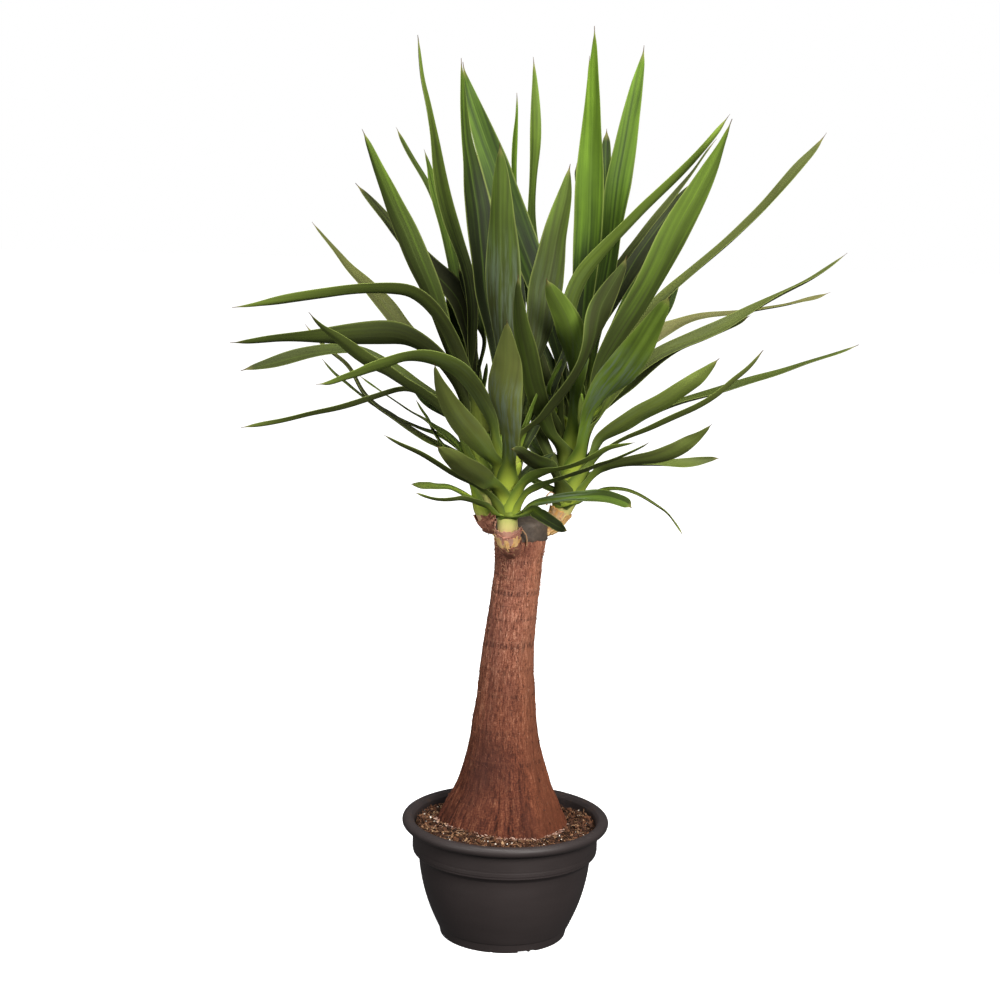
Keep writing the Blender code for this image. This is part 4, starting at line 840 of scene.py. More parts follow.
def fine_leaf(name, key, spec, placing, look, stands=None, sheath=True, seed=0):
    tone, olive, dust, base, side_painted_light, tip_painted_light = (tuple(look) + (1.0, 0.0, 0.12)[len(look) - 3:])[:6]
    # tone stops along the blade: the blade's own green with painted shade low in the crown and painted light towards
    # the tips
    stops = tone if isinstance(tone, tuple) else ((0.0, tone), (1.0, tone))   # tone along the blade
    run = leaf_run(spec, *placing)
    _, way = leaf_lines(run, STATIONS)
    lines, _ = leaf_lines(run, FINE, way)
    P = np.array([l[1][:] for l in lines])
    A = np.array([l[3][:] for l in lines])
    N = np.array([l[4][:] for l in lines])
    HW = np.array([l[5] for l in lines])
    S = np.array([l[0] for l in lines])
    P = smooth_rows(P, 3, 1)
    A = smooth_rows(A, 3, 1)
    HW = smooth_rows(HW, 4, 1)
    A /= np.linalg.norm(A, axis=1)[:, None]
    D = np.gradient(P, axis=0)
    D /= np.linalg.norm(D, axis=1)[:, None]
    N = np.cross(A, D)
    N /= np.linalg.norm(N, axis=1)[:, None]
    A = np.cross(D, N)
    L = np.concatenate([[0.0], np.cumsum(np.linalg.norm(np.diff(P, axis=0), axis=1))])
    length = L[-1]
    HW = HW * (1.0 - 0.80 * smoothstep(0.955, 1.0, S))
    U = np.linspace(-1, 1, COLS)
    U = np.sign(U) * np.abs(U) ** 0.9
    rng = np.random.default_rng(1000 + seed)
    ph = rng.uniform(0, 6.28, 4)
    fold = 0.22 + 0.10 * (1 - smoothstep(0.03, 0.30, S)) + 0.05 * smoothstep(0.8, 1.0, S)
    wave = (0.0007 * np.sin(L / 0.041 + ph[0]) + 0.0005 * np.sin(L / 0.023 + ph[1])) * smoothstep(0.1, 0.3, S) * (1 - smoothstep(0.85, 1.0, S))
    asym = 0.0006 * np.sin(L / 0.060 + ph[2])
    au = np.abs(U)
    prof = -(1 - au ** 1.45)                       # -1 in the middle, 0 at the margins
    X = U[None, :] * HW[:, None]
    Z = fold[:, None] * HW[:, None] * prof[None, :] \
        + wave[:, None] * (au ** 2)[None, :] * np.sign(U)[None, :] + asym[:, None] * (au ** 2)[None, :]
    if key in CREASED:                              # a creased band: (share, half length, depth)
        s0, hl, dep = CREASED[key]
        k = np.exp(-((S - s0) / hl) ** 2)
        Z = Z + (k * dep)[:, None] * np.sin(L / 0.0040)[:, None] * (1 - au[None, :] ** 2)
    G = P[:, None, :] + A[:, None, :] * X[..., None] + N[:, None, :] * Z[..., None]
    mid_t = 0.0011 + 0.0013 * (1 - smoothstep(0.02, 0.09, L))
    rim_t = 0.00042
    T = rim_t + (mid_t[:, None] - rim_t) * (1 - au[None, :] ** 1.7)
    T = T * (1 - 0.62 * smoothstep(0.93, 1.0, S))[:, None]
    place = np.stack([np.broadcast_to(U[None, :], X.shape), np.broadcast_to(L[:, None], X.shape),
                      np.broadcast_to(S[:, None], X.shape)], -1)
    across = X
    if sheath:
        shoot = spec[0]
        out = np.array(run[5][:])
        fz = max(float(P[0][2]), LOWEST[shoot] + 0.002)      # the shoot's foot stays bare
        side = np.array([-out[1], out[0], 0.0])
        if side.dot(A[2]) < 0:
            side = -side
        ls = 0.013
        za = fz - ls
        rows = []
        below = np.linspace(-ls, 0.0, 7)[:-1]

        def arc(zc, span, drop, lift):
            """One row of the clasping foot round the shoot."""
            z = zc - (au ** 1.6) * drop
            cx, cy, cr = shoot_at(shoot, z)
            r = cr + 0.0011 + 0.085 * np.maximum(z - za, 0.0) + lift
            ang = span * U
            return np.stack([cx + r * (out[0] * np.cos(ang) + side[0] * np.sin(ang)),
                             cy + r * (out[1] * np.cos(ang) + side[1] * np.sin(ang)), z], -1)
        lowest = LOWEST[shoot]
        for t in below:
            k = (t + ls) / ls
            rows.append(arc(max(fz + t, lowest), math.radians(150 - 45 * k), 0.009 * k, 0.0))
        reach = min(0.042, 0.22 * length)
        w = 1 - smoothstep(0.003, reach, L)
        for i in range(len(L)):
            if w[i] <= 0:
                break
            k = min(L[i] / reach, 1.0)
            zc = max(fz - 0.004, min(P[i][2], fz + 0.030))
            a_row = arc(zc, math.radians(105 - 72 * k), 0.009 * (1 - k), 0.0004 * k)
            G[i] = a_row * w[i] + G[i] * (1 - w[i])
        G = np.concatenate([np.array(rows), G], 0)
        T = np.concatenate([np.broadcast_to(T[0], (len(below), COLS)) * np.linspace(0.35, 0.95, len(below))[:, None], T], 0)
        pb = np.stack([np.broadcast_to(U[None, :], (len(below), COLS)), np.broadcast_to(below[:, None], (len(below), COLS)),
                       np.zeros((len(below), COLS))], -1)
        place = np.concatenate([pb, place], 0)
        across = np.concatenate([np.broadcast_to(U[None, :] * max(HW[0], 0.004), (len(below), COLS)), across], 0)
    # even out the grid where foot and blade meet
    rows_n = G.shape[0]
    for _ in range(3):
        B = G.copy()
        lim = min(rows_n - 2, 26)
        B[1:lim] = G[:lim - 1] * 0.25 + G[1:lim] * 0.5 + G[2:lim + 1] * 0.25
        G = B
    da = np.gradient(G, axis=1)
    dl = np.gradient(G, axis=0)
    NN = np.cross(da, dl)
    NN /= np.maximum(np.linalg.norm(NN, axis=2), 1e-12)[..., None]
    for _ in range(2):
        NN[1:-1] = NN[:-2] * 0.25 + NN[1:-1] * 0.5 + NN[2:] * 0.25
        NN /= np.maximum(np.linalg.norm(NN, axis=2), 1e-12)[..., None]
    top = G + NN * (T * 0.5)[..., None]
    bot = G - NN * (T * 0.5)[..., None]
    n = rows_n * COLS
    idx = np.arange(n).reshape(rows_n, COLS)
    a, b, c, d = idx[:-1, :-1].ravel(), idx[:-1, 1:].ravel(), idx[1:, 1:].ravel(), idx[1:, :-1].ravel()
    faces = list(zip(a, b, c, d)) + list(zip(d + n, c + n, b + n, a + n))
    l0, l1 = idx[:-1, 0], idx[1:, 0]
    r0, r1 = idx[:-1, -1], idx[1:, -1]
    faces += list(zip(l0, l1, l1 + n, l0 + n)) + list(zip(r0, r0 + n, r1 + n, r1))
    e0, e1 = idx[0, :-1], idx[0, 1:]
    t0, t1 = idx[-1, :-1], idx[-1, 1:]
    faces += list(zip(e0, e0 + n, e1 + n, e1)) + list(zip(t0, t1, t1 + n, t0 + n))
    verts = np.concatenate([top.reshape(-1, 3), bot.reshape(-1, 3)])
    ob = obj(name, verts, faces, MAT_LEAF, 50.0, stands)
    put(ob, "leaf_place", np.concatenate([place.reshape(-1, 3)] * 2), "FLOAT_VECTOR")
    kind = np.zeros((2 * n, 3))
    kind[:, 0] = np.interp(np.concatenate([place[..., 2].ravel()] * 2), [q[0] for q in stops], [q[1] for q in stops])
    # bloom amount, which also carries a painted blue-grey sheen
    kind[:, 1] = dust
    kind[:n, 2] = 1.0
    put(ob, "leaf_kind", kind, "FLOAT_VECTOR")
    more = np.zeros((2 * n, 3))
    more[:, 0], more[:, 1], more[:, 2] = olive, 3.7 * seed + 1.3, base
    put(ob, "leaf_more", more, "FLOAT_VECTOR")
    light = np.zeros((2 * n, 3))
    light[:, 0], light[:, 1] = side_painted_light, tip_painted_light
    put(ob, "leaf_calm", np.full(2 * n, CALM.get(key, 1.0)))
    light[:, 2] = np.concatenate([across.ravel()] * 2)
    put(ob, "leaf_light", light, "FLOAT_VECTOR")
    return ob


# look of each blade: tone (0 dark, 1 light; its stops along the blade also paint shade low in the crown and light on
# the tips), olive, bloom (with a painted blue-grey sheen), bright foot, painted light on one edge (sign = side),
# painted light towards the tip
# thin or turned blades carry a fainter grain
CALM = {"right_t19": 0.12, "left_04": 0.25, "right_01": 0.10, "right_02": 0.12, "left_02": 0.15, "left_13": 0.3, "right_03": 0.3,
        "right_10": 0.25, "right_06": 0.3, "front_r7": 0.3, "right_12": 0.3, "left_09": 0.2, "left_10": 0.2, "left_11": 0.2, "left_06": 0.3,
        "left_08": 0.2, "right_05": 0.35, "front_14": 0.3, "left_05": 0.5, "left_03": 0.6}
CREASED = {"front_17": (0.36, 0.09, 0.0005)}
LOOK = {
    "left_01": (((0.0, 0.10), (0.35, 0.32), (0.6, 0.56), (1.0, 0.84)), 0.42, 0.05, 0.3, 0.0, 0.05), "left_02": (0.35, 0.95, 0.10, 0.5, 0.10, 0.0),
    "left_03": (((0.0, 0.0), (0.35, 0.06), (0.6, 0.26), (1.0, 0.44)), 0.30, 0.05, 0.3, 0.0, 0.10),
    "left_04": (((0.0, 0.44), (0.5, 0.38), (1.0, 0.14)), 0.50, 0.15, 0.4, 0.0, 0.1),
    "left_05": (0.45, 0.42, 0.10, 0.6), "left_06": (((0.0, 0.56), (0.3, 0.44), (0.48, 0.16), (0.8, 0.42), (1.0, 0.46)), 0.85, 0.20, 0.8),
    "left_08": (((0.0, 0.42), (0.5, 0.54), (1.0, 0.80)), 0.60, 0.10, 0.8),
    "left_13": (0.46, 0.60, 0.10), "left_t1": (((0.0, 0.05), (0.30, 0.06), (0.58, 0.22), (1.0, 0.52)), 0.00, 0.0, 0.2, -0.10, 0.10),
    "left_t2": (((0.0, 0.0), (0.5, -0.12), (0.8, 0.05), (1.0, 0.10)), 0.55, 0.0, 0.1), "left_t3": (((0.0, 0.04), (0.3, 0.06), (0.5, 0.18), (1.0, 0.30)), 0.30, 0.0, 0.2),
    "left_t4": (((0.0, 0.16), (0.35, 0.16), (0.60, 0.26), (1.0, 0.40)), 0.15, 0.0, 0.2, 0.0, 0.1),
    "left_t5": (((0.0, 0.02), (0.36, 0.10), (0.54, 0.36), (1.0, 0.58)), 0.35, 0.0, 0.1, 0.0, 0.1),
    "front_t6": (((0.0, -0.05), (0.30, -0.05), (0.55, 0.04), (1.0, 0.40)), 0.10, 0.0, 0.1, 0.0, 0.1),
    "front_t7": (((0.0, -0.08), (0.25, -0.04), (0.45, 0.14), (0.65, 0.36), (1.0, 0.40)), 0.00, 0.40, 0.1, 0.0, 0.1),
    "front_t8": (((0.0, -0.10), (0.25, -0.06), (0.50, 0.14), (1.0, 0.44)), 0.05, 0.15, 0.1, 0.06, 0.10),
    "front_07": (((0.0, 0.26), (0.33, 0.42), (0.5, 0.66), (1.0, 0.80)), 0.40, 0.15, 0.6), "front_12": (((0.0, 0.28), (0.5, 0.46), (1.0, 0.46)), 0.50, 0.0, 0.6),
    "front_14": (0.62, 0.50, 0.10),
    "front_15": (((0.0, 1.0), (0.5, 0.92), (1.0, 0.76)), 0.80, 0.10), "front_16": (((0.0, 0.95), (0.5, 0.84), (1.0, 0.82)), 0.85, 0.15, 0.9),
    "front_17": (((0.0, 0.88), (0.30, 0.76), (0.45, 0.64), (0.55, 0.72), (1.0, 0.78)), 0.85, 0.95, 1.0, 0.0, 0.0),
    "front_m1": (((0.0, -0.08), (0.33, -0.04), (0.6, 0.04), (1.0, 0.08)), 0.00, 0.0, 0.1, 0.10, 0.10), "front_r7": (0.98, 0.45, 0.10), "front_r8": (0.38, 0.30, 0.10, 0.8),
    "front_11": (((0.0, 0.26), (0.33, 0.24), (0.5, 0.36), (1.0, 0.30)), 0.15, 0.60, 0.5), "front_13": (-0.20, 0.10, 0.0, 0.3), "right_m3": (((0.0, 0.16), (0.5, 0.30), (1.0, 0.22)), 0.10, 0.0, 0.3),
    "right_t6": (((0.0, -0.05), (0.30, 0.0), (0.55, 0.14), (0.75, 0.28), (1.0, 0.34)), 0.00, 0.0, 0.1, 0.0, 0.1),
    "right_t10": (((0.0, 0.0), (0.40, 0.12), (0.60, 0.36), (1.0, 0.42)), 0.20, 0.0, 0.1, 0.0, 0.1),
    "right_t11": (((0.0, 0.0), (0.30, 0.10), (0.50, 0.38), (1.0, 0.66)), 0.00, 0.0, 0.2, 0.05, 0.1), "right_t12": (((0.0, 0.0), (0.30, 0.14), (0.50, 0.36), (1.0, 0.54)), 0.00, 0.0, 0.2, 0.0, 0.1),
    "right_t13": (((0.0, 0.44), (0.33, 0.50), (0.5, 0.66), (1.0, 0.92)), 0.25, 0.10, 0.2, 0.0, 0.1), "right_t16": (0.17, 0.60, 0.0, 0.2), "right_t17": (0.0, 0.30, 0.0, 0.2),
    "right_t18": (((0.0, 0.14), (0.30, 0.20), (0.50, 0.36), (1.0, 0.60)), 0.00, 0.0, 0.1, 0.05, 0.1), "right_t19": (((0.0, 0.52), (0.5, 0.48), (1.0, 0.26)), 0.70, 0.10, 0.4, 0.0, 0.1),
    "right_01": (0.38, 0.65, 0.10, 0.5), "right_02": (((0.0, 0.54), (0.5, 0.52), (1.0, 0.38)), 1.20, 0.10, 0.6), "right_03": (((0.0, -0.05), (0.4, 0.14), (1.0, 0.18)), 0.48, 0.05, 0.5),
    "right_04": (0.72, 0.60, 0.20, 0.8), "right_05": (((0.0, 0.95), (0.33, 0.72), (0.5, 0.42), (1.0, 0.36)), 0.50, 0.10, 0.8), "right_06": (((0.0, 0.95), (0.6, 0.90), (1.0, 0.52)), 0.70, 0.05, 0.8),
    "right_09": (((0.0, 0.72), (0.5, 0.68), (1.0, 0.60)), 0.62, 0.10, 0.8), "right_10": (((0.0, 0.95), (0.5, 0.72), (1.0, 0.20)), 0.60, 0.10), "right_12": (0.52, 0.60, 0.10),
    "right_m2": (((0.0, 0.46), (0.5, 0.66), (1.0, 0.44)), 0.10, 0.40, 0.6), "right_m5": (((0.0, 0.84), (0.5, 0.72), (1.0, 0.72)), 0.05, 0.95, 1.0, 0.0, 0.0),
    "right_f1": (((0.0, 0.36), (0.5, 0.30), (1.0, 0.0)), 0.20, 0.05, 0.2),
    "left_b1": (0.48, 0.10, 0.05, 0.0), "left_b2": (0.34, 0.00, 0.05, 0.0), "right_b3": (((0.0, 0.46), (0.5, 0.42), (1.0, 0.20)), 0.00, 0.05, 0.0),
    "right_b4": (((0.0, 0.32), (0.5, 0.28), (1.0, 0.08)), 0.00, 0.05, 0.0),
}
worst = 0.0
for i, (key, spec) in enumerate(LEAVES.items()):
    err, placing = find_placing(key, spec)
    worst = max(worst, err)
    if err > 0.0012:
        print("blade not found where expected", key, round(err * 1000, 2), placing)
    fine_leaf("blade_" + key, key, spec, placing, LOOK[key], ("leaf_" + key,), seed=i)
print("blades", len(LEAVES), "largest misfit mm", round(worst * 1000, 2))

# thin leaves that only the looks have: shoot, height, tip depth, bow, width, rows
EXTRA = {
    "left_09": (("left", 0.34, 0.16, 1.0, 0.012,
                 [(322, 358.7, 0), (331, 369, 2), (337, 375, 2), (345, 381, 2), (354, 389, 2), (363, 396, 2), (370, 402, 2),
                  (392, 414, 2.5), (420, 428, 3), (448, 440, 4)]), (0.30, 0.45, 0.1)),
    "left_10": (("left", 0.14, 0.02, 1.0, 0.014,
                 [(360, 376, 0), (370, 383, 2), (383, 392, 2), (397, 401, 2), (410, 410, 2), (426, 419, 2.4), (435, 427, 5),
                  (445, 433, 6), (455, 442, 6), (462, 450, 4)]), (0.34, 0.30, 0.1)),
    "left_11": (("left", 0.20, 0.03, 1.0, 0.010,
                 [(416, 400, 0), (421, 409, 2), (428, 419, 2.4), (434, 432, 2.5), (441, 442, 2.5), (452, 452, 3),
                  (462, 458, 4)]), (0.36, 0.30, 0.1)),
    # the left _d blades are dark fillers deep in the crown: their tone is painted shade of the crown's core
    "left_d1": (("left", 0.80, 0.05, 1.0, 0.014,
                 [(447, 286, 0), (449, 295, 6), (451, 304, 10), (453.5, 316, 12), (458, 332, 12), (464, 352, 10)]),
                (0.50, 0.3, 0.0, 0.1)),
    "left_d4": (("left", 0.90, 0.038, 1.0, 0.012,
                 [(458, 268, 0), (463, 280, 7), (468, 292, 10), (473, 304, 12), (477.5, 316, 12), (481, 327, 8), (484, 336, 4)]),
                (0.0, 0.1, 0.0, 0.0)),
    "left_d2": (("left", 0.40, 0.085, 1.0, 0.014,
                 [(414, 391, 0), (423, 399, 7), (432, 405, 9), (442, 410, 10), (453, 416, 10), (464, 424, 8)]),
                (0.04, 0.1, 0.0, 0.1)),
    "left_d3": (("left", 0.85, 0.03, 1.0, 0.010,
                 [(487, 362, 0), (486, 370, 3), (484.5, 380, 4), (482, 394, 4), (480, 408, 5)]), (0.05, 0.1, 0.0, 0.1)),
    "right_t9": (("right", 0.90, 0.22, 1.0, 0.018,
                  [(516.8, 93, 0), (516.8, 110, 1.5), (515, 137, 3), (514, 169, 4.5), (516, 200, 5), (520, 240, 6),
                   (528, 290, 7), (540, 340, 7)]), (0.56, 0.0, 0.1)),
    "right_t14": (("right", 0.90, 0.24, 1.0, 0.024,
                   [(606.7, 128.7, 0), (606.5, 138, 7), (606, 150, 10), (605.5, 170, 11.5), (604.5, 190, 12), (601, 220, 12),
                    (595, 260, 11), (588, 300, 10), (583, 345, 9)]), (0.14, 0.0, 0.1)),
    "right_t15": (("right", 0.95, 0.20, 1.0, 0.014,
                   [(577, 163, 0), (576, 171, 3.4), (578, 184, 5), (581, 200, 5), (582, 230, 6), (582, 280, 8), (581, 330, 8)]),
                  (0.16, 0.0, 0.0, 0.1)),
    "right_t20": (("right", 0.56, 0.19, 1.0, 0.020,
                   [(680, 283, 0), (674, 292, 7), (669, 303, 10), (662, 314, 11), (652, 326, 11), (640, 340, 11),
                    (622, 362, 10), (606, 384, 9)]), (0.10, 0.0, 0.1)),
    "right_t21": (("right", 0.92, 0.115, 1.0, 0.008,
                   [(589.5, 56, 0), (589, 70, 2), (588, 90, 2.6), (586.5, 120, 3), (585, 160, 4), (583, 220, 5),
                    (580, 300, 6)]), (0.40, 0.0, 0.0, 0.1)),
    # the right _d blades are dark fillers deep in the crown: their tone is painted shade of the crown's core
    "right_d1": (("right", 0.30, -0.012, 1.0, 0.012,
                  [(527, 385, 0), (530, 400, 6), (535, 418, 9), (541, 435, 10), (548, 452, 10), (556, 468, 8)]),
                 (0.0, 0.1, 0.0, 0.2)),
    "right_d2": (("right", 0.46, -0.006, 1.0, 0.012,
                  [(562, 372, 0), (561, 390, 5), (560, 410, 7), (561, 430, 8), (564, 450, 8)]), (0.02, 0.1, 0.0, 0.2)),
    "right_d3": (("right", 0.80, 0.03, 1.0, 0.016,
                  [(540, 336, 0), (543, 346, 8), (548, 360, 12), (554, 378, 13), (560, 396, 13), (566, 414, 12)]),
                 (0.0, 0.1, 0.0, 0.1)),
    "right_d4": (("right", 0.34, 0.02, 1.0, 0.016,
                  [(521, 424, 0), (527, 433, 9), (534, 444, 14), (544, 454, 15), (556, 464, 13)]), (0.0, 0.1, 0.0, 0.1)),
    "right_d5": (("right", 0.12, 0.0, 1.0, 0.014,
                  [(523, 473, 0), (530, 478, 5), (538, 482, 6), (546, 486, 6), (556, 492, 6)]), (0.10, 0.1, 0.0, 0.1)),
    "right_d6": (("right", 0.50, -0.004, 1.0, 0.012,
                  [(545, 396, 0), (549, 406, 6), (554, 418, 9), (560, 430, 9), (567, 444, 8)]), (0.02, 0.1, 0.0, 0.1)),
    "right_d7": (("right", 0.75, 0.01, 1.0, 0.014,
                  [(539, 348, 0), (542, 358, 7), (545, 372, 10), (551, 388, 10), (559, 404, 9), (568, 420, 8)]), (0.0, 0.1, 0.0, 0.1)),
    # the front _d blades are dark fillers deep in the crown: their tone is painted shade of the crown's core
    "front_d1": (("front", 0.40, 0.02, 1.0, 0.012,
                  [(578, 318, 0), (570, 340, 5), (562, 362, 8), (552, 386, 10), (542, 410, 11), (532, 432, 10), (524, 448, 7)]),
                 (0.03, 0.1, 0.0, 0.1)),
    "front_d2": (("front", 0.20, -0.01, 1.0, 0.010,
                  [(556, 452, 0), (546, 458, 6), (535, 465, 9), (526, 473, 9), (519, 482, 7)]), (0.03, 0.1, 0.0, 0.1)),
    "front_d3": (("front", 0.95, 0.02, 1.0, 0.010,
                  [(520, 270, 0), (521.5, 282, 5), (522.5, 296, 6), (521, 320, 7), (517, 350, 7), (512, 380, 6)]),
                 (0.04, 0.0, 0.0, 0.1)),
    "front_d4": (("front", 0.70, -0.02, 1.0, 0.012,
                  [(536, 380, 0), (533, 388, 7), (529, 400, 10), (525, 414, 10), (519, 428, 9)]), (0.06, 0.1, 0.0, 0.1)),
    "front_f3": (("front", 0.66, -0.055, 1.0, 0.010,
                  [(541, 385, 0), (536, 396, 3), (530, 410, 4.4), (524, 425, 4.6), (519, 440, 4)]), (0.58, 0.1, 0.0)),
    "front_f4": (("front", 0.56, -0.062, 1.0, 0.009,
                  [(521, 392, 0), (519.5, 402, 3.4), (518, 416, 4.6), (516.5, 432, 5), (514, 448, 4.4)]), (0.52, 0.1, 0.0)),
    "front_f5": (("front", 0.46, -0.050, 1.0, 0.009,
                  [(534, 404, 0), (530, 416, 3.4), (525.5, 430, 4.6), (520, 446, 5), (516, 460, 4.4)]), (0.46, 0.1, 0.0)),
    "right_f6": (("right", 0.70, -0.030, 1.0, 0.010,
                  [(563, 358, 0), (558.5, 367, 4.4), (553, 377, 5), (549, 390, 4.6), (553, 404, 4.4), (560, 418, 4)]),
                 (0.60, 0.1, 0.0)),
}
for i, (key, (spec, look)) in enumerate(EXTRA.items()):
    fine_leaf("blade_" + key, key, spec, (0.0, 0.0, 0.0), look, None, seed=70 + i)


# ----------------------------------------------------------------- trunk
# rows of short upright slits, old leaf scars: height, half height, depth of tone
BARK_BANDS = [(seen(515, py, -0.027).z, half, deep) for py, half, deep in
              ((563, 0.0030, 0.55), (580, 0.0018, 0.50), (595, 0.0036, 1.0), (621, 0.0022, 0.45), (647, 0.0040, 0.85),
               (672, 0.0022, 0.40), (697, 0.0026, 0.45), (733, 0.0028, 0.45), (764, 0.0030, 0.50))]


def bark_material():
    s = Shade("bark_fibrous")
    h = s.attr("bark_height")                       # 0 in the cracks, 1 on the flakes
    z = s.attr("bark_along")
    at = s.split(s.attr("bark_place", "Vector"))    # round (cos, sin), height in metres
    def cloth(round_, up, detail=4.0, rough=0.65):
        """Noise on the bark: cells per radian round the trunk, cells per metre up it."""
        return s.noise(s.join(s.math("MULTIPLY", at[0], round_), s.math("MULTIPLY", at[1], round_), s.math("MULTIPLY", at[2], up)),
                       1.0, detail, rough)
    fib = cloth(40.0, 150.0, 4.0, 0.70)
    fib2 = cloth(17.0, 80.0, 4.0, 0.65)
    gran = cloth(21.0, 720.0, 4.0, 0.70)
    big = s.noise(s.join(s.math("MULTIPLY", at[0], 1.6), s.math("MULTIPLY", at[1], 1.6), s.math("MULTIPLY", at[2], 14.0)), 1.0, 3.0, 0.5)
    t = s.math("MULTIPLY_ADD", s.math("SUBTRACT", h, 0.5), 0.55, 0.50)
    t = s.math("MULTIPLY_ADD", s.math("SUBTRACT", fib, 0.5), 1.30, t)
    t = s.math("MULTIPLY_ADD", s.math("SUBTRACT", fib2, 0.5), 0.85, t)
    t = s.math("MULTIPLY_ADD", s.math("SUBTRACT", gran, 0.5), 1.05, t)
    col = s.ramp(t, [(0.0, (0.030, 0.010, 0.008)), (0.22, (0.090, 0.029, 0.018)), (0.45, (0.240, 0.082, 0.048)),
                     (0.62, (0.370, 0.145, 0.088)), (0.82, (0.580, 0.290, 0.190)), (1.0, (0.76, 0.50, 0.37))])
    dark = s.mix(0.5, col, (0.100, 0.036, 0.030), "MULTIPLY")
    col = s.mix(s.step(big, 0.60, 0.34), col, s.mix(0.45, col, (0.120, 0.042, 0.032)))
    grey = s.noise(s.join(s.math("MULTIPLY", at[0], 4.0), s.math("MULTIPLY", at[1], 4.0), s.math("MULTIPLY", at[2], 30.0)), 1.0, 3.0, 0.6)
    col = s.mix(s.math("MULTIPLY", s.step(grey, 0.58, 0.76), 0.35), col, (0.27, 0.155, 0.105))
    # darker purple-brown on the front left above the flare, round the foot and high on the left
    dark_purple_patches = s.attr("bark_dark_purple_patches")
    col = s.mix(s.math("MULTIPLY", dark_purple_patches, 0.62), col, (0.070, 0.028, 0.027))
    # painted reddish light on the right side of the trunk
    right_painted_light = s.attr("bark_right_painted_light")
    col = s.mix(s.math("MULTIPLY", right_painted_light, 0.45), col, (0.460, 0.185, 0.100))
    # brick-like rows of short dark slits, old leaf scars
    slit = s.voronoi(s.join(s.math("MULTIPLY", at[0], 17.0), s.math("MULTIPLY", at[1], 17.0), s.math("MULTIPLY", at[2], 140.0)),
                     1.0, "F1", "Distance")
    band = s.noise(s.join(0.0, 0.0, s.math("MULTIPLY", at[2], 38.0)), 1.0, 2.0, 0.5)
    cut_ = s.math("MULTIPLY", s.step(slit, 0.30, 0.14), s.step(band, 0.48, 0.62))
    col = s.mix(s.math("MULTIPLY", cut_, 0.60), col, (0.034, 0.013, 0.010))
    upright = cloth(27.0, 40.0, 2.0, 0.6)
    for zc, half, deep in BARK_BANDS:
        near = s.step(s.math("ABSOLUTE", s.math("SUBTRACT", at[2], zc)), half, half * 0.45)
        col = s.mix(s.math("MULTIPLY", s.math("MULTIPLY", near, s.step(upright, 0.49, 0.58)), deep), col, (0.036, 0.013, 0.011))
        line = s.step(s.math("ABSOLUTE", s.math("SUBTRACT", at[2], zc + half * 1.1)), 0.0011, 0.0003)
        col = s.mix(s.math("MULTIPLY", line, 0.40 * deep), col, (0.30, 0.135, 0.085))
    # ring lines
    ring = s.noise(s.join(s.math("MULTIPLY", at[0], 0.6), s.math("MULTIPLY", at[1], 0.6), s.math("MULTIPLY", at[2], 330.0)), 1.0, 2.0, 0.5)
    col = s.mix(s.math("MULTIPLY", s.step(ring, 0.63, 0.78), s.step(z, 0.35, 0.9, 0.25, 0.65)), col, (0.045, 0.016, 0.013))
    # darker and browner towards the soil
    col = s.mix(1.0, col, s.ramp(z, [(0.0, (0.35, 0.25, 0.185)), (0.18, (0.45, 0.35, 0.29)), (0.42, (0.59, 0.51, 0.45)), (0.72, (0.93, 0.93, 0.93)), (1.0, (1.0, 1.0, 1.0))]), "MULTIPLY")
    hb = s.math("MULTIPLY_ADD", fib, 1.0, s.math("MULTIPLY", fib2, 0.6))
    return s.done(col, s.math("MULTIPLY_ADD", fib, 0.12, 0.80), s.bump(hb, 0.65, 0.0011), Specular_IOR_Level=0.22)


MAT_BARK = bark_material()

EDGES = [(505, 498.0, 548.8), (512, 497.0, 548.5), (541, 494.8, 546.6), (556, 495.3, 543.4), (569, 494.6, 541.9),
         (592, 491.5, 539.4), (622, 486.6, 536.4), (645, 483.2, 534.4), (670, 479.6, 534.0),
         (702, 476.0, 535.6), (722, 472.0, 537.2), (746, 468.6, 540.0), (766, 463.3, 544.8),
         (785, 456.6, 550.5), (800, 448.4, 556.6), (813, 441.0, 561.6)]


def trunk_row(py):
    l, r = lerp(EDGES, py)
    a, b = seen(l, py, 0.0), seen(r, py, 0.0)
    return (a + b) / 2, (b - a).length / 2


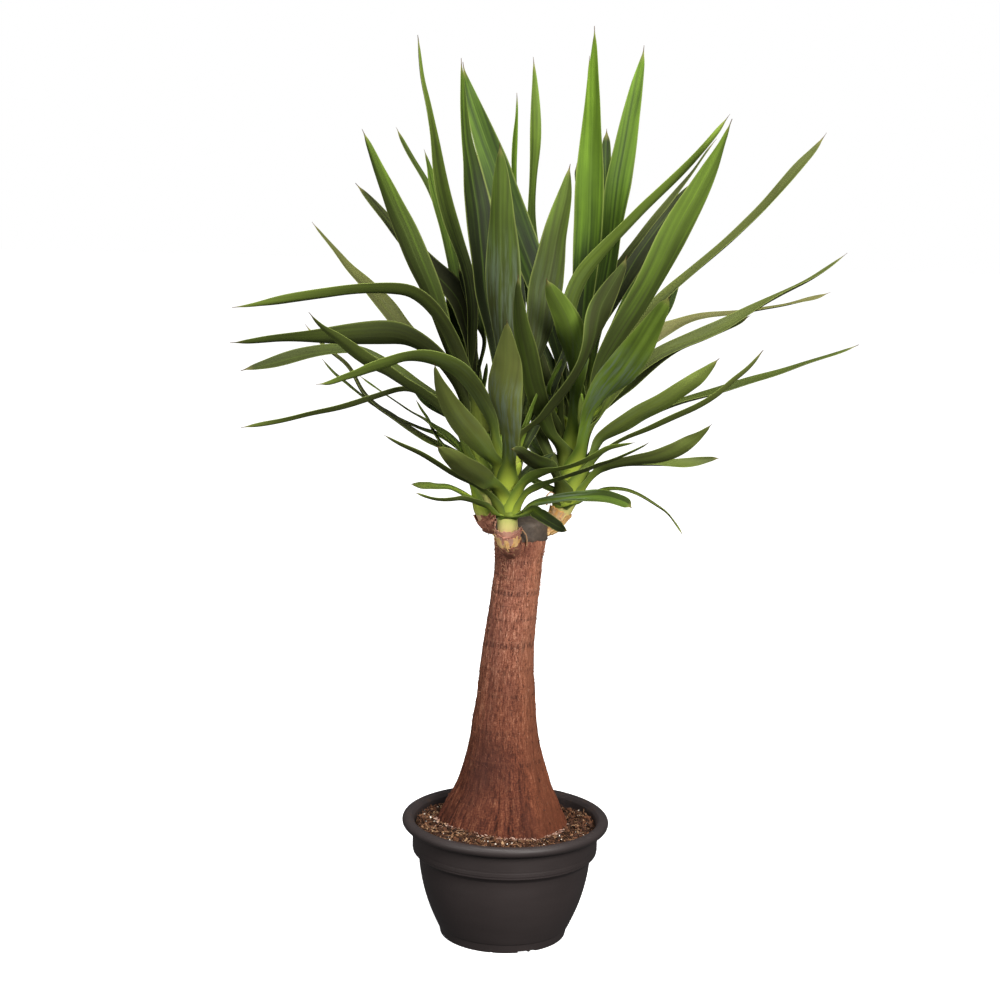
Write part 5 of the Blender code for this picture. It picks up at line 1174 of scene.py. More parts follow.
def make_trunk():
    na, nz = 288, 330
    # centre, radius and flattening against height
    rows = [813, 807, 800, 793, 785, 776, 766, 756, 746, 734, 722, 710, 697, 684, 670, 658, 645, 634, 622, 607, 592, 580,
            569, 556, 548, 541, 530]
    cz, cx, cr, ck = [], [], [], []
    for py in rows:
        c, rad = trunk_row(py)
        f = min(1.0, max(0.0, (py - 640) / 173.0))
        cz.append(c.z)
        cx.append(c.x)
        cr.append(rad)
        ck.append(f)
    cz, cx, cr, ck = map(np.array, (cz, cx, cr, ck))
    z_top = neck_z + 0.0054
    z_low = cz[0] - 0.012
    z = np.linspace(z_low, z_top, nz)
    a = np.linspace(0, 2 * math.pi, na, endpoint=False)
    AA, ZZ = np.meshgrid(a, z)
    X0 = np.interp(ZZ, cz, cx)
    R0 = np.interp(ZZ, cz, cr)
    K = np.interp(ZZ, cz, ck)
    below = np.clip(cz[0] - ZZ, 0, None)
    R0 = R0 + 0.35 * below
    for _ in range(6):
        R0[1:-1] = R0[:-2] * 0.25 + R0[1:-1] * 0.5 + R0[2:] * 0.25
        X0[1:-1] = X0[:-2] * 0.25 + X0[1:-1] * 0.5 + X0[2:] * 0.25
    f2 = K ** 2
    ca, sa = np.cos(AA), np.sin(AA)
    R0 = R0 * (1 + f2 * (0.022 * np.sin(5 * AA + 0.5) + 0.014 * np.sin(8 * AA + 2.0)))
    up = (ZZ - cz[0]) / (z_top - cz[0])             # 0 at the soil, 1 at the top
    # lattice of ring cracks and upright slits, finer towards the top
    phase = np.interp(up, [-0.05, 0.0, 0.25, 0.5, 0.75, 1.0], [-1.0, 0.0, 4.6, 11.0, 19.0, 28.5])
    warp = 0.42 * grain(ca * 1.7, sa * 1.7, ZZ * 26, 3) + 0.22 * grain(ca * 6, sa * 6, ZZ * 60, 4)
    ph = phase + warp
    band = np.floor(ph)
    v = ph - band
    ncell = np.where(up > 0.35, 40, 34)
    off = lattice(band.astype(np.int64), 0, 0, 5)
    ua = AA / (2 * math.pi) * 38 + off * 7.3 + 0.35 * grain(ca * 9, sa * 9, ZZ * 90, 6)
    cell = np.floor(ua)
    uu = ua - cell
    cell = np.mod(cell, 38)
    strength = lattice(cell.astype(np.int64), band.astype(np.int64), 1, 7)
    width = 0.10 + 0.14 * lattice(cell.astype(np.int64), band.astype(np.int64), 2, 8)
    slit = np.exp(-((uu - 0.5) / width) ** 2) * smoothstep(0.10, 0.35, v) * (1 - smoothstep(0.60, 0.95, v))
    slit = slit * np.clip(strength * 1.7 - 0.5, 0, 1)
    ring = np.exp(-(np.minimum(v, 1 - v) / 0.10) ** 2)
    ring = ring * np.clip(0.55 + 0.9 * grain(ca * 5, sa * 5, ZZ * 50 + band * 3.3, 9), 0, 1)
    ring = ring * (0.30 + 0.70 * smoothstep(0.30, 0.80, up))
    # long fibres
    r_mm = R0 * 1000
    f_a = grain(ca * 15, sa * 15, ZZ * 44, 12)
    f_b = grain(ca * 30, sa * 30, ZZ * 75, 13)
    f_c = grain(ca * 56, sa * 56, ZZ * 120, 15)
    f_d = grain(ca * 7, sa * 7, ZZ * 24, 14)
    # torn flakes
    c1, c2, own = cells(ca * R0 / 0.0075, sa * R0 / 0.0075, ZZ / 0.017, 21)
    flake = smoothstep(0.02, 0.30, c2 - c1) * (own - 0.35)
    # buttress grooves at the foot
    low = smoothstep(0.34, 0.0, up)
    g_a = grain(ca * 4.2 + 0.25 * grain(ca * 3, sa * 3, ZZ * 20, 30), sa * 4.2, ZZ * 7, 31)
    g_b = grain(ca * 8.5, sa * 8.5, ZZ * 10, 32)
    groove = -smoothstep(0.24, 0.0, np.abs(g_a)) * 0.9 - smoothstep(0.16, 0.0, np.abs(g_b)) * 0.5
    lump = grain(ca * 1.3, sa * 1.3, ZZ * 17, 41) * 0.0007 + grain(ca * 2.6, sa * 2.6, ZZ * 38, 42) * 0.0005
    relief = (-0.95 * slit - 0.62 * ring) * (1 - 0.55 * low) + 0.34 * f_a + 0.24 * f_b + 0.12 * f_c + 0.22 * f_d \
        + 0.85 * flake * (0.55 + 0.45 * smoothstep(0.3, 0.8, up)) + 1.7 * low * groove
    amp = 0.00085 + 0.00035 * smoothstep(0.3, 0.0, up)
    # ragged skirt at the soil
    skirt = smoothstep(0.035, -0.02, up)
    rag = grain(ca * 22, sa * 22, 3.1, 51) * 0.5 + grain(ca * 9, sa * 9, 7.7, 52) * 0.5
    R = R0 + relief * amp + lump + skirt * (0.0020 * rag)
    flat = 1.0 - 0.115 * f2
    VX = X0 + R * ca
    VY = R * flat * sa
    verts = np.stack([VX, VY, ZZ], -1)
    idx = np.arange(na * nz).reshape(nz, na)
    n1 = np.roll(idx, -1, axis=1)
    faces = list(zip(idx[:-1].ravel(), n1[:-1].ravel(), n1[1:].ravel(), idx[1:].ravel()))
    # flat foot below and a shallow dome on top, under the wax
    vlist = list(verts.reshape(-1, 3))
    extra_at = {}
    bz = z_low - 0.004
    base0 = len(vlist)
    for i in range(na):
        p = verts[0, i]
        vlist.append((X0[0, i] + (p[0] - X0[0, i]) * 0.75, p[1] * 0.75, bz))
    for i in range(na):
        j = (i + 1) % na
        faces.append((base0 + i, base0 + j, idx[0, j], idx[0, i]))
    faces.append(tuple(base0 + i for i in reversed(range(na))))
    top_rows = []
    last = idx[-1]
    for t in (0.35, 0.7, 0.93, 1.0):
        c = neck_c.lerp(top_c, t)
        dr = -SEAL_T - GAP - (0.0045 - SEAL_T - GAP if t == 1.0 else 0.0)
        ring_i = []
        for i in range(na):
            ring_i.append(len(vlist))
            vlist.append((c.x + (neck_r + dr) * math.cos(a[i]), (neck_r + dr) * math.sin(a[i]), c.z))
        for i in range(na):
            j = (i + 1) % na
            faces.append((last[i], last[j], ring_i[j], ring_i[i]))
        last = ring_i
    faces.append(tuple(last))
    ob = obj("trunk_bark", vlist, faces, MAT_BARK, 60.0, ("trunk",))
    n_extra = len(vlist) - na * nz
    hh = np.clip(0.50 + 0.30 * relief + 0.10 * f_c, 0, 1)
    pad = lambda q, v0=0.4: np.concatenate([np.asarray(q, float).ravel(), np.full(n_extra, v0)])
    put(ob, "bark_height", pad(hh))
    put(ob, "bark_along", pad(up))
    place = np.concatenate([np.stack([ca, sa, ZZ], -1).reshape(-1, 3), np.zeros((n_extra, 3))])
    put(ob, "bark_place", place, "FLOAT_VECTOR")
    # darker purple-brown: front left just above the flare, round the foot and high on the left; painted reddish light:
    # right side
    front = -sa
    dark_purple_patches = np.exp(-((AA - math.radians(235)) / 0.55) ** 2) * np.exp(-((ZZ - 0.190) / 0.038) ** 2)
    dark_purple_patches = dark_purple_patches + 0.55 * smoothstep(0.10, 0.0, up) * (0.6 + 0.4 * grain(ca * 3, sa * 3, ZZ * 30, 61))
    dark_purple_patches = dark_purple_patches + 0.45 * np.exp(-((ZZ - 0.415) / 0.018) ** 2) * np.clip(0.5 - ca, 0, 1)
    put(ob, "bark_dark_purple_patches", pad(np.clip(dark_purple_patches, 0, 1)))
    put(ob, "bark_right_painted_light", pad(np.clip(smoothstep(0.25, 0.95, ca), 0, 1)))
    return verts, relief


neck_c, neck_r = trunk_row(542.5)
neck_z = neck_c.z
top_c = seen(522.8, 518.0, 0.0)
trunk_grid, trunk_relief = make_trunk()


def strips(name, items, mat, tone_seed=0, thick_m=0.00035, tones=None):
    """Many thin curled strips in one mesh: each item is (start, direction, out, length, width, curl, twist)."""
    verts, faces, tone = [], [], []
    rng = np.random.default_rng(tone_seed)
    for num, (p0, d, o, ln, wd, curl, twist) in enumerate(items):
        p0, d, o = (np.array(q, float) for q in (p0, d, o))
        d /= np.linalg.norm(d)
        o = o - d * o.dot(d)
        o /= max(np.linalg.norm(o), 1e-9)
        sd = np.cross(d, o)
        nseg = 4
        base = len(verts)
        tn = rng.uniform()
        if tones is not None:
            tn = tones[num]
        for k in range(nseg + 1):
            t = k / nseg
            c = p0 + d * ln * t + o * curl * t * t
            w = wd * 0.5 * (1 - 0.75 * t ** 1.5) * (0.75 + 0.25 * math.sin(3 * t + tn * 6))
            ang = twist * t
            sk = sd * math.cos(ang) + o * math.sin(ang)
            ok = o * math.cos(ang) - sd * math.sin(ang)
            verts += [c - sk * w + ok * thick_m * 0.5, c + sk * w + ok * thick_m * 0.5,
                      c + sk * w - ok * thick_m * 0.5, c - sk * w - ok * thick_m * 0.5]
            tone += [tn] * 4
        for k in range(nseg):
            i, j = base + 4 * k, base + 4 * (k + 1)
            for m in range(4):
                n = (m + 1) % 4
                faces.append((i + m, j + m, j + n, i + n))
        faces.append((base, base + 1, base + 2, base + 3))
        e = base + 4 * nseg
        faces.append((e + 3, e + 2, e + 1, e))
    if volume(verts, faces) < 0:
        faces = [tuple(reversed(f)) for f in faces]
    ob = obj(name, verts, faces, mat, 50.0)
    put(ob, "bit_tone", tone)
    return ob


def simple_tone(name, stops, rough, scale, bump_m=0.0006, strength=0.5, **fixed):
    """A material whose colour runs over stops by each bit's own tone and a little noise."""
    s = Shade(name)
    co = s.coords()
    n = s.noise(co, scale, 4.0, 0.6)
    t = s.math("MULTIPLY_ADD", s.math("SUBTRACT", n, 0.5), 0.55, s.attr("bit_tone"))
    col = s.ramp(t, stops)
    return s.done(col, rough, s.bump(n, strength, bump_m), Specular_IOR_Level=0.25, **fixed)


MAT_FLAKE = simple_tone("bark_flake", [(0.0, (0.075, 0.026, 0.016)), (0.45, (0.22, 0.080, 0.046)), (0.8, (0.40, 0.19, 0.12)),
                                       (1.0, (0.52, 0.30, 0.20))], 0.85, 420.0)
rng = np.random.default_rng(7)
items = []
nzr, nar = trunk_grid.shape[:2]
flake_tone = []
for _ in range(1500):
    i = int(rng.uniform(0.02, 0.985) ** 0.9 * (nzr - 1))
    j = int(rng.integers(0, nar))
    p = trunk_grid[i, j]
    o = np.array([p[0] - trunk_grid[i, :, 0].mean(), p[1], 0.0])
    o /= np.linalg.norm(o)
    down = rng.uniform() < 0.65
    tang = np.array([-o[1], o[0], 0.0])
    d = np.array([0, 0, -1.0 if down else 1.0]) + tang * rng.normal(0, 0.28) + o * rng.uniform(0.02, 0.16)
    if rng.uniform() < 0.16:
        d = tang * (1 if rng.uniform() < 0.5 else -1) + np.array([0, 0, rng.normal(0, 0.3)]) + o * 0.12
    ln = rng.uniform(0.0022, 0.0062)
    items.append((p - o * 0.0004, d, o, ln, rng.uniform(0.0006, 0.0019), rng.uniform(0.0, 0.0009), rng.normal(0, 0.5)))
    up = float(np.clip((p[2] - 0.125) / 0.20, 0.0, 1.0))
    flake_tone.append(rng.uniform(-0.05, 0.86) * (0.45 + 0.55 * up) - 0.10 * (1 - up))
strips("bark_flakes", items, MAT_FLAKE, 3, tones=flake_tone)

# pale torn skin and pink-brown crumbs where the trunk meets the soil
MAT_SKIRT = simple_tone("foot_skin", [(0.0, (0.07, 0.028, 0.018)), (0.5, (0.24, 0.115, 0.080)), (1.0, (0.55, 0.38, 0.30))], 0.85, 380.0)


def soil_z(x, y):
    r = np.hypot(x, y)
    a = np.arctan2(y, x)
    heap = (0.0046 * np.exp(-((np.cos(a - math.radians(172)) - 1.0) / 0.55) ** 2)
            + 0.0030 * np.exp(-((np.cos(a - math.radians(20)) - 1.0) / 0.40) ** 2)) * smoothstep(0.058, 0.093, r)
    heap = heap + 0.0062 * np.exp(-((np.cos(a - math.radians(208)) - 1.0) / 0.26) ** 2) * np.exp(-((r - 0.064) / 0.011) ** 2)
    return heap + SOIL_MID - SOIL_SLOPE * y - 0.0016 * (r / 0.0965) ** 6 + 0.0008 * np.sin(3 * a + 0.6) + 0.0005 * np.sin(7 * a)


foot_c, _ = trunk_row(813)
rng = np.random.default_rng(17)
items = []
for _ in range(360):
    a = rng.uniform(0, 2 * math.pi)
    if rng.uniform() < 0.45:
        a = math.radians(rng.normal(295, 26))
    k = rng.uniform(0.985, 1.055)
    x, y = foot_c.x + (FOOT_RX + 0.0008) * k * math.cos(a), (FOOT_RY + 0.0014) * k * math.sin(a)
    o = np.array([math.cos(a), math.sin(a), 0.0])
    d = np.array([o[0] * 0.7, o[1] * 0.7, rng.uniform(-0.5, 0.25)]) + np.array([-o[1], o[0], 0]) * rng.normal(0, 0.8)
    items.append(((x, y, float(soil_z(x, y)) + rng.uniform(0.0002, 0.003)), d, (0, 0, 1), rng.uniform(0.002, 0.0055),
                  rng.uniform(0.0010, 0.0026), rng.uniform(-0.0008, 0.0012), rng.normal(0, 0.8)))
strips("foot_skin_bits", items, MAT_SKIRT, 5, 0.0006)


# ----------------------------------------------------------------- soil
def soil_material():
    s = Shade("soil_mix")
    co = s.coords()
    n1 = s.noise(co, 260.0, 5.0, 0.7)
    n2 = s.voronoi(co, 420.0, "F1", "Distance")
    t = s.math("MULTIPLY_ADD", n2, -0.5, s.math("MULTIPLY_ADD", n1, 1.0, 0.22))
    col = s.ramp(t, [(0.0, (0.008, 0.004, 0.003)), (0.35, (0.021, 0.010, 0.005)), (0.62, (0.058, 0.025, 0.011)),
                     (0.85, (0.120, 0.058, 0.025)), (1.0, (0.22, 0.13, 0.06))])
    return s.done(col, 0.95, s.bump(t, 0.8, 0.0015), Specular_IOR_Level=0.15)


MAT_SOIL = soil_material()


def make_soil():
    nr, na = 60, 216
    rr = np.concatenate([np.linspace(0.040, 0.0945, nr - 4), [0.0953, 0.0960, 0.0963, 0.0964]])
    a = np.linspace(0, 2 * math.pi, na, endpoint=False)
    RR, AA = np.meshgrid(rr, a, indexing="ij")
    x, y = RR * np.cos(AA), RR * np.sin(AA)
    z = soil_z(x, y)
    c1, c2, own = cells(x / 0.0042, y / 0.0042, 0.5, 71)
    z = z + 0.0011 * grain(x / 0.006, y / 0.006, 0.3, 72) + 0.0008 * grain(x / 0.0022, y / 0.0022, 0.7, 73) \
        + (0.5 - c1) * 0.0022 + 0.0018 * grain(x / 0.019, y / 0.019, 1.4, 74)
    edge = smoothstep(0.0925, 0.0960, RR)
    z = z - 0.0022 * edge
    z[-1] = z[-1] - 0.004
    z[0] = z[0] - 0.012
    verts = np.stack([x, y, z], -1).reshape(-1, 3)
    idx = np.arange(len(rr) * na).reshape(len(rr), na)
    n1 = np.roll(idx, -1, axis=1)
    faces = list(zip(idx[:-1].ravel(), idx[1:].ravel(), n1[1:].ravel(), n1[:-1].ravel()))
    # sides and underside, inside the pot
    vl = list(verts)
    for r, zz in ((0.0955, 0.0985), (0.0895, 0.0830), (0.0853, 0.0580), (0.0768, 0.0310), (0.0706, 0.0166), (0.0612, 0.0062)):
        ring = []
        for k in range(na):
            ring.append(len(vl))
            vl.append((r * math.cos(a[k]), r * math.sin(a[k]), zz))
        last = idx[-1] if len(ring) and zz == 0.0985 else prev
        for k in range(na):
            j = (k + 1) % na
            faces.append((last[k], ring[k], ring[j], last[j]))
        prev = ring
    faces.append(tuple(reversed(prev)))
    faces.append(tuple(idx[0]))
    if volume(vl, faces) < 0:
        faces = [tuple(reversed(f)) for f in faces]
    ob = obj("soil_bed", vl, faces, MAT_SOIL, 60.0, ("soil",))
    return ob


make_soil()


def chips(name, spots, mat, seed, flatness=(0.45, 1.0)):
    """Lumpy little grains: spots are (x, y, z, size)."""
    bm = bmesh.new()
    bmesh.ops.create_icosphere(bm, subdivisions=1, radius=1.0)
    base_v = np.array([v.co[:] for v in bm.verts])
    base_f = [tuple(v.index for v in f.verts) for f in bm.faces]
    bm.free()
    rng = np.random.default_rng(seed)
    verts, faces, tone = [], [], []
    for x, y, z, size in spots:
        v = base_v * (1 + rng.uniform(-0.28, 0.28, (len(base_v), 1)))
        v = v * np.array([rng.uniform(0.7, 1.4), rng.uniform(0.7, 1.1), rng.uniform(*flatness)])
        q = rng.normal(size=4)
        q /= np.linalg.norm(q)
        w, i, j, k = q
        rot = np.array([[1 - 2 * (j * j + k * k), 2 * (i * j - k * w), 2 * (i * k + j * w)],
                        [2 * (i * j + k * w), 1 - 2 * (i * i + k * k), 2 * (j * k - i * w)],
                        [2 * (i * k - j * w), 2 * (j * k + i * w), 1 - 2 * (i * i + j * j)]])
        v = v @ rot.T * size * 0.5 + np.array([x, y, z])
        b = len(verts)
        verts.extend(v)
        faces.extend(tuple(b + m for m in f) for f in base_f)
        tone.extend([rng.uniform()] * len(v))
    ob = obj(name, verts, faces, mat, 30.0)
    put(ob, "bit_tone", tone)
    return ob


def scatter(n, seed, size, lift, power=1.6, back=1.0):
    """Spots on the soil between the trunk and the pot."""
    rng = np.random.default_rng(seed)
    out = []
    while len(out) < n:
        a = rng.uniform(0, 2 * math.pi)
        r = 0.0955 * math.sqrt(rng.uniform(0.22, 1.0))
        x, y = r * math.cos(a), r * math.sin(a)
        if ((x - foot_c.x) / (FOOT_RX + 0.001)) ** 2 + (y / (FOOT_RY + 0.001)) ** 2 < 1.0:
            continue
        if rng.uniform() > lerp(((-0.09, 1.0), (0.0, 0.75), (0.09, back)), x)[0]:
            continue
        sz = size[0] + (size[1] - size[0]) * rng.uniform() ** power
        if r + sz * 0.6 > 0.0962:
            continue
        out.append((x, y, float(soil_z(x, y)) + rng.uniform(*lift), sz))
    return out


MAT_BIT_DARK = simple_tone("soil_bark_bits", [(0.0, (0.014, 0.006, 0.004)), (0.5, (0.050, 0.020, 0.010)), (1.0, (0.125, 0.050, 0.023))],
                           0.9, 600.0)
MAT_BIT_TAN = simple_tone("soil_tan_bits", [(0.0, (0.085, 0.035, 0.017)), (0.5, (0.185, 0.088, 0.043)), (1.0, (0.37, 0.225, 0.125))],
                          0.85, 600.0)
MAT_BIT_PALE = simple_tone("soil_pale_grains", [(0.0, (0.42, 0.33, 0.25)), (0.5, (0.62, 0.54, 0.45)), (1.0, (0.80, 0.76, 0.70))],
                           0.7, 700.0)
chips("soil_bits_dark", scatter(2200, 81, (0.0010, 0.0050), (0.0, 0.0022), 2.2), MAT_BIT_DARK, 91, (0.35, 0.9))
chips("soil_bits_tan", scatter(520, 82, (0.0008, 0.0040), (0.0002, 0.0026), 2.4, 0.30), MAT_BIT_TAN, 92, (0.3, 0.9))
chips("soil_grains_pale", scatter(95, 83, (0.0007, 0.0024), (0.0006, 0.0026), 1.8, 0.7), MAT_BIT_PALE, 93, (0.6, 1.0))
rng = np.random.default_rng(84)
items = []
for x, y, z, sz in scatter(420, 85, (0.003, 0.011), (0.0006, 0.0026), 1.4, 0.35):
    d = np.array([rng.normal(), rng.normal(), rng.normal() * 0.25])
    e = np.array([x, y, z]) + d / np.linalg.norm(d) * sz
    if math.hypot(e[0], e[1]) > 0.0955:
        continue
    items.append(((x, y, z), d, (0, 0, 1), sz, rng.uniform(0.0005, 0.0012), rng.uniform(-0.0006, 0.0012), rng.normal(0, 0.8)))
strips("soil_fibres", items, MAT_BIT_TAN, 9, 0.0004)


# ----------------------------------------------------------------- pot
def pot_material():
    s = Shade("pot_satin")
    co = s.coords()
    xyz = s.split(co)
    fine = s.noise(co, 900.0, 2.0, 0.5)
    wide = s.noise(co, 11.0, 3.0, 0.5)
    flow = s.noise(s.scaled(co, (16.0, 16.0, 90.0)), 1.0, 3.0, 0.55)
    col = s.ramp(s.math("MULTIPLY_ADD", s.math("SUBTRACT", flow, 0.5), 0.35, wide),
                 [(0.25, (0.027, 0.0212, 0.0210)), (0.75, (0.037, 0.0290, 0.0286))])
    # soil dust on the inside and a little on top of the rim
    dust = s.math("MULTIPLY", s.step(s.noise(co, 130.0, 4.0, 0.65), 0.52, 0.74), s.attr("pot_inside"))
    col = s.mix(s.math("MULTIPLY", dust, 0.55), col, (0.085, 0.050, 0.032))
    rough = s.math("MULTIPLY_ADD", wide, 0.10, 0.42)
    rough = s.math("MULTIPLY_ADD", dust, 0.25, rough)
    h = s.math("MULTIPLY_ADD", fine, 0.6, s.math("MULTIPLY", flow, 0.35))
    return s.done(col, rough, s.bump(h, 0.12, 0.0005), Specular_IOR_Level=0.27)


MAT_POT = pot_material()


def filleted(pts, radii, seg=4):
    """Profile with its corners rounded."""
    out = []
    n = len(pts)
    for i, p in enumerate(pts):
        r = radii[i]
        if i in (0, n - 1) or r <= 0:
            out.append(tuple(p))
            continue
        p = np.array(p, float)
        a = np.array(pts[i - 1], float) - p
        b = np.array(pts[i + 1], float) - p
        la, lb = np.linalg.norm(a), np.linalg.norm(b)
        a, b = a / la, b / lb
        half = math.acos(max(-1, min(1, a.dot(b)))) / 2
        d = min(r / math.tan(half), la * 0.45, lb * 0.45) if half > 1e-3 else 0
        p0, p1 = p + a * d, p + b * d
        for k in range(seg + 1):
            t = k / seg
            q = p0 * (1 - t) ** 2 + 2 * p * t * (1 - t) + p1 * t ** 2
            out.append(tuple(q))
    return out


def make_pot():
    R, H = POT_RIM_D / 2, POT_H
    lip_r, lip_z, lip_a = R - 0.0055, H - 0.0054, 0.0054
    inner = [(0.0620, 0.0056), (0.0712, 0.0160), (0.0773, 0.0305), (0.0857, 0.0578), (0.0898, 0.0837),
             (0.0925, 0.0903), (0.0968, 0.0955), (0.0968, 0.1205)]
    lip = [(lip_r + lip_a * math.cos(math.radians(d)), lip_z + lip_a * math.sin(math.radians(d)))
           for d in range(90, -76, -11)]
    # body curve through the construction's own knots
    knots = [(0.0917, 0.0835), (0.0901, 0.0705), (0.0876, 0.0575), (0.0842, 0.0445), (0.0792, 0.0300), (0.0730, 0.0155)]
    kz = [-k[1] for k in knots]
    vec = [Vector((k[0], k[1], 0)) for k in knots]
    body = [tuple(catmull(vec, kz, t)[:2]) for t in np.linspace(kz[0], kz[-1], 26)]
    steps = [(0.0998, H - 0.0104), (0.0988, 0.1172), (0.0988, 0.1010), (0.09868, 0.1004), (0.09868, 0.0990), (0.0988, 0.0984),
             (0.0988, 0.0952), (0.0983, 0.0941), (0.0983, 0.0924), (0.0944, 0.0890), (0.0925, 0.0868)]
    foot = [(0.0708, 0.0108), (0.0694, 0.0094), (0.0672, 0.0)]
    under = [(0.0636, 0.0), (0.0628, 0.0028), (0.0312, 0.0028), (0.0304, 0.0)]
    pin = filleted(inner, [0, .003, .004, .006, .002, .002, .0015, 0])
    lin = filleted([(0.0968, 0.1205), (0.0975, H - 0.0045), (0.1000, H - 0.0011), lip[0]], [0, .002, .002, 0])[1:]
    pst = filleted([lip[-1]] + steps + [body[0]], [0] + [.0008, .0010, .0002, .0002, .0002, .0002, .0005, .0004, .0006, .0012, .0012] + [0])[1:-1]
    pft = filleted([body[-1]] + foot + under[:1], [0, .0008, .0008, .0006, 0])[1:-1]
    pun = filleted(under, [.0004, .0006, .0006, .0003])
    prof = [(0.0, 0.0056)] + pin + lin + lip[1:] + pst + body + pft + pun + [(0.0, 0.0)]
    inside_n = 1 + len(pin) + len(lin)
    na = 224
    verts, faces, inside = [], [], []
    rows = []
    for q, (r, z) in enumerate(prof):
        if r < 1e-6:
            rows.append([len(verts)])
            verts.append((0.0, 0.0, z))
            inside.append(1.0 if q < inside_n else 0.0)
            continue
        row = []
        for k in range(na):
            t = 2 * math.pi * k / na
            # the moulded wall is a hair out of true
            w = 0.00012 * math.sin(2 * t + 0.7) + 0.00006 * math.sin(5 * t)
            row.append(len(verts))
            verts.append(((r + w) * math.cos(t), (r + w) * math.sin(t), z))
            inside.append(1.0 if q < inside_n else 0.0)
        rows.append(row)
    for a, b in zip(rows, rows[1:]):
        if len(a) == 1:
            faces += [(a[0], b[k], b[(k + 1) % na]) for k in range(na)]
        elif len(b) == 1:
            faces += [(a[k], b[0], a[(k + 1) % na]) for k in range(na)]
        else:
            faces += [(a[k], b[k], b[(k + 1) % na], a[(k + 1) % na]) for k in range(na)]
    if volume(verts, faces) < 0:
        faces = [tuple(reversed(f)) for f in faces]
    me = bpy.data.meshes.new("pot_body")
    me.from_pydata(verts, [], faces)
    me.materials.append(MAT_POT)
    ob = bpy.data.objects.new("pot_body", me)
    bpy.context.scene.collection.objects.link(ob)
    put(ob, "pot_inside", inside)
    # drain holes and the gaps under the foot ring, one cutter
    bm = bmesh.new()

    def drum(r, depth, x, y, z, sides=28):
        made = bmesh.ops.create_cone(bm, cap_ends=True, segments=sides, radius1=r, radius2=r, depth=depth)
        bmesh.ops.translate(bm, verts=made["verts"], vec=(x, y, z))
    for k in range(6):
        a = math.radians(30 + 60 * k)
        drum(0.0052, 0.012, 0.047 * math.cos(a), 0.047 * math.sin(a), 0.004)
    for deg, half in ((-99.5, 0.7), (-70.5, 4.2), (-61.0, 2.2), (95.0, 3.0)):
        a = math.radians(deg)
        r = 0.068 * math.radians(half) + 0.001
        drum(r, 0.0034, 0.0675 * math.cos(a), 0.0675 * math.sin(a), 0.0, 24)
    cm = bpy.data.meshes.new("pot_cutter")
    bm.to_mesh(cm)
    bm.free()
    cut = bpy.data.objects.new("pot_cutter", cm)
    bpy.context.scene.collection.objects.link(cut)
    mod = ob.modifiers.new("holes", "BOOLEAN")
    mod.operation, mod.solver, mod.object = "DIFFERENCE", "EXACT", cut
    bpy.context.view_layer.update()
    done = bpy.data.meshes.new_from_object(ob.evaluated_get(bpy.context.evaluated_depsgraph_get()))
    ob.modifiers.clear()
    ob.data = done
    done.name = "pot_body"
    bpy.data.objects.remove(cut)
    done.shade_smooth()
    done.set_sharp_from_angle(angle=math.radians(42))
    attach(ob, "root")
    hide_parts("pot")
    return ob


make_pot()


# ----------------------------------------------------------------- wax cap
def wax_material():
    s = Shade("wound_wax")
    co = s.coords()
    n1 = s.noise(co, 150.0, 4.0, 0.6)
    n2 = s.noise(s.scaled(co, (420.0, 420.0, 120.0)), 1.0, 4.0, 0.65)
    col = s.ramp(n1, [(0.2, (0.048, 0.036, 0.028)), (0.55, (0.096, 0.073, 0.055)), (0.85, (0.165, 0.122, 0.090))])
    col = s.mix(s.math("MULTIPLY", s.step(n2, 0.60, 0.78), 0.6), col, (0.23, 0.105, 0.075))
    return s.done(col, s.math("MULTIPLY_ADD", n1, 0.25, 0.45), s.bump(s.math("ADD", n1, n2), 0.5, 0.0010), Specular_IOR_Level=0.35)


MAT_WAX = wax_material()


